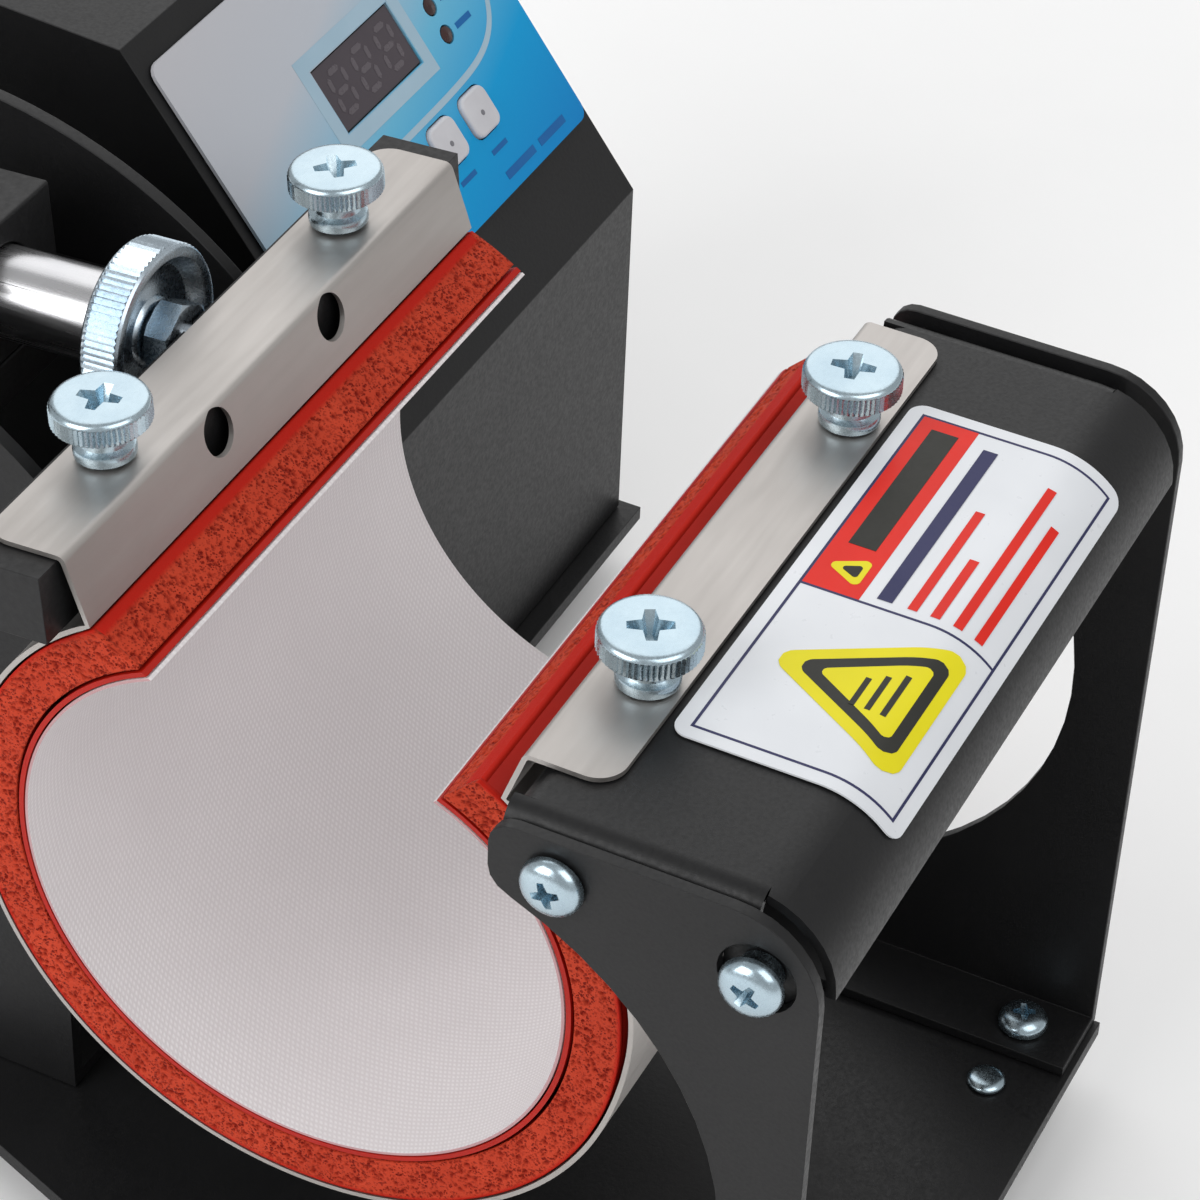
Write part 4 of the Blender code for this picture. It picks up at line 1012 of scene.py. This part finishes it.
def segments(u, v, wide, tall, thick):
    """Outlines of one seven-segment figure with its lower left corner at (u, v)."""
    lean = 0.09
    bars = []
    for level in (0.0, 0.5, 1.0):
        middle = v + thick / 2 + (tall - thick) * level
        bars.append([(u + thick, middle), (u + wide - thick, middle)])
    for side in (u + thick / 2, u + wide - thick / 2):
        for low, high in ((0.0, 0.5), (0.5, 1.0)):
            start = v + thick / 2 + (tall - thick) * low + thick * 0.45
            end = v + thick / 2 + (tall - thick) * high - thick * 0.45
            bars.append([(side, start), (side, end)])
    outlines = []
    for near, far in bars:
        near, far = Vector(near), Vector(far)
        along = (far - near).normalized()
        across = Vector((-along.y, along.x)) * (thick / 2)
        inner_near, inner_far = near + along * (thick / 2), far - along * (thick / 2)
        points = [near, inner_near - across, inner_far - across]
        points += [far, inner_far + across, inner_near + across]
        outlines.append([(p.x + (p.y - v) * lean, p.y) for p in points])
    return outlines


def corners_cut(path):
    """The path with every corner cut at a quarter of its sides."""
    finer = [path[0]]
    for near, far in zip(path, path[1:]):
        near, far = Vector(near), Vector(far)
        finer += [tuple(near.lerp(far, 0.25)), tuple(near.lerp(far, 0.75))]
    return finer + [path[-1]]


def make_panel():
    """Print on the overlay, segments in the window, and the key caps with their marks."""
    panel_top, window_top, key_top = 1.0, 0.7, 2.0
    printed = [(outline, ink_pale) for outline in bordered(33.4, 44.4, 67.4, 63.8, 3.0)]
    sweep = [(26.0, 39.3), (52.0, 39.3), (70.0, 39.6), (79.5, 40.6), (86.0, 43.4), (90.2, 48.4)]
    sweep += [(92.6, 56.0), (93.6, 66.0), (93.9, 78.6)]
    for _ in range(3):
        sweep = corners_cut(sweep)
    printed.append((strip(sweep, 1.3), ink_pale))
    captions = (
        (67.5, 19.8, 78.5, 21.4),
        (80.5, 19.8, 90.5, 21.4),
        (43.0, 25.2, 48.5, 26.2),
        (55.2, 25.2, 60.7, 26.2),
        (67.3, 25.2, 72.8, 26.2),
        (77.6, 47.5, 83.0, 48.7),
        (77.6, 53.6, 84.4, 54.8),
    )
    printed += [(rectangle(*caption), ink_blue) for caption in captions]
    print_piece("panel_print", printed, PANEL, "control_panel", panel_top + 0.01, panel_top + 0.05)
    figures = []
    for number in range(3):
        for outline in segments(38.6 + number * 8.4, 49.6, 5.9, 9.0, 1.15):
            figures.append((outline, digit))
    under, over = window_top + 0.01, window_top + 0.06
    print_piece("display_figures", figures, PANEL, "display_window", under, over)
    for number, u in enumerate((45.8, 57.9, 70.0), 1):
        node = f"button_{number}"
        softened(node, key_plastic, 0.7, 3, 50.0, f"{node}_cap")
        dot = [(arc(u, 33.0, 0.55, 0, 330, 11), ink_grey)]
        print_piece(f"{node}_mark", dot, PANEL, node, key_top + 0.01, key_top + 0.05)


# ------------ everything else


def make_grip():
    """The rubber grip, turned about the lever's line, with shallow grooves along a slight waist."""
    length, start, radius, rings, grooves = 205.0, 105.0, 14.5, 46, 9
    pivot = next(item["pos_m"] for item in frame["joints"] if item["name"] == "lever_hinge")
    lean = -(20.0 + TILT)
    profile = [(0, start), (radius - 3.2, start), (radius - 2.2, start + 0.6)]
    profile.append((radius - 1.6, start + 2.4))
    for i in range(rings + 1):
        share = i / rings
        z = start + 4 + (length - 12 - start) * share
        swell = radius - 1.5 * math.sin(math.pi * min(1.0, share * 1.15)) + 0.5 * share
        wave = max(0.0, math.cos(share * math.tau * grooves)) ** 6
        profile.append((swell - (0.55 * wave if 0.08 < share < 0.94 else 0.0), z))
    profile += [(radius - 0.2, length - 3.0), (radius - 1.6, length + 1.8)]
    profile += [(radius - 4.6, length + 4.9), (0, length + 6)]
    matrix = at_point(pivot, turned(lean, "X"))
    place("lever_grip_ribbed", lathe(profile, 56), matrix, (rubber,), ("lever_grip",), sharp=50.0)


def make_feet():
    for number in range(1, 5):
        node = f"foot_{number}"
        low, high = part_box(node)
        middle = middle_of(node)
        tall = (high.z - low.z) / MM
        profile = [(0, 1.2), (4.4, 1.2), (4.8, 0.5), (8.2, 0), (9.2, 0.25), (9.7, 0.9)]
        profile += [(10.7, tall - 1.4), (11.0, tall - 0.7), (10.8, tall), (0, tall)]
        matrix = at_point((middle.x, middle.y, low.z))
        place(f"{node}_moulded", lathe(profile, 48), matrix, (rubber,), (node,))


def make_inlet_pins():
    inset, length = 4.4, 13.0
    builders = []
    for x, z in ((-4.6, -1.6), (4.6, -1.6), (0.0, 2.4)):
        builders.append(prism(rounded(x - 0.9, z - 2.0, x + 0.9, z + 2.0, 0.4, 3), 0, length))
    middle = middle_of("power_inlet")
    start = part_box("power_inlet")[0].y + inset * MM
    swap_yz = Matrix(((1, 0, 0, 0), (0, 0, 1, 0), (0, 1, 0, 0), (0, 0, 0, 1)))
    matrix = at_point((middle.x, start, middle.z), swap_yz)
    place("inlet_pins", merged(builders), matrix, (brass,), like="power_inlet")


def make_housings():
    for node in ("front_arm", "rear_arm", "base_plate", "side_plate_near", "side_plate_far"):
        softened(node, black, 0.35)
    softened("jaw_cover", black, 0.3, 2, 40.0)
    softened("control_box", black, 0.5)
    for node in ("jaw_bar", "rod_guide", "guide_bridge"):
        softened(node, coarse_black, 0.5)
    softened("lever_arm", black, 0.6, 3)
    for node in ("link_near", "link_far", "rod_pin", "knee_pin", "lever_pivot_pin"):
        softened(node, hidden_steel, 0.3)
    for side in ("near", "far"):
        softened(f"pivot_spacer_{side}", hidden_steel, 0.3)
    softened("push_rod", chrome, 0.3, 2, 40.0)
    softened("power_inlet", moulding, 0.4)
    softened("switch_frame", moulding, 0.4)
    softened("power_rocker", rocker_red, 0.35, 3)
    softened("power_relay", moulding, 0.5)


def paint_kept_nodes():
    """Materials of the CAD nodes that stay."""
    for paint, nodes in (
        (overlay, ("control_panel",)),
        (window, ("display_window",)),
        (lamp, ("led_1", "led_2")),
        (board, ("panel_board", "power_board")),
        (hidden_steel, ("board_tray", "ear_nut_strip", "cover_spacer_1", "cover_spacer_2")),
    ):
        for node in nodes:
            for slot in frame["nodes"][node].material_slots:
                slot.material = paint


def make_room():
    """A pale floor, soft lights and an even sky."""
    builder = bmesh.new()
    bmesh.ops.create_grid(builder, x_segments=8, y_segments=8, size=2.5)
    mesh = bpy.data.meshes.new("floor")
    builder.to_mesh(mesh)
    builder.free()
    pale = surface("pale_floor", (0.96, 0.96, 0.96), (0.95, 0.95, 0.95), 0.6, 4, 60, 0.00002)
    mesh.materials.append(pale)
    floor = bpy.data.objects.new("floor", mesh)
    bpy.context.collection.objects.link(floor)
    world = bpy.data.worlds.new("soft_room")
    world.use_nodes = True
    sky = world.node_tree.nodes["Background"]
    sky.inputs["Color"].default_value = (1.0, 1.0, 1.0, 1.0)
    sky.inputs["Strength"].default_value = 0.5
    bpy.context.scene.world = world
    aim = PRESS @ Vector((20, 0, 10))
    for name, start, size, power in (
        ("front_light", (-250, -750, 900), 0.9, 5.0),
        ("left_light", (-900, 500, 650), 0.8, 8.0),
        ("wide_light", (1000, 470, 910), 1.5, 7.0),
    ):
        data = bpy.data.lights.new(name, "AREA")
        data.shape = "SQUARE"
        data.size = size
        data.energy = power
        light = bpy.data.objects.new(name, data)
        light.location = PRESS @ Vector(start)
        light.rotation_euler = (aim - light.location).to_track_quat("-Z", "Y").to_euler()
        bpy.context.collection.objects.link(light)
    bpy.context.scene.view_settings.view_transform = "Standard"


def make_camera():
    data = bpy.data.cameras.new("camera")
    data.sensor_width = 36.0
    data.lens = CAMERA_LENS
    camera = bpy.data.objects.new("camera", data)
    turn = Euler([math.radians(angle) for angle in CAMERA_TURN]).to_matrix().to_4x4()
    camera.matrix_world = Matrix.Translation(PRESS @ Vector(CAMERA_PLACE)) @ turn
    bpy.context.collection.objects.link(camera)
    bpy.context.scene.camera = camera


make_camera()
make_band()
make_sponge()
make_mat_and_lining()
make_fasteners()
make_wheel_and_nut()
make_label()
make_panel()
make_housings()
make_grip()
make_feet()
make_inlet_pins()
paint_kept_nodes()
make_room()
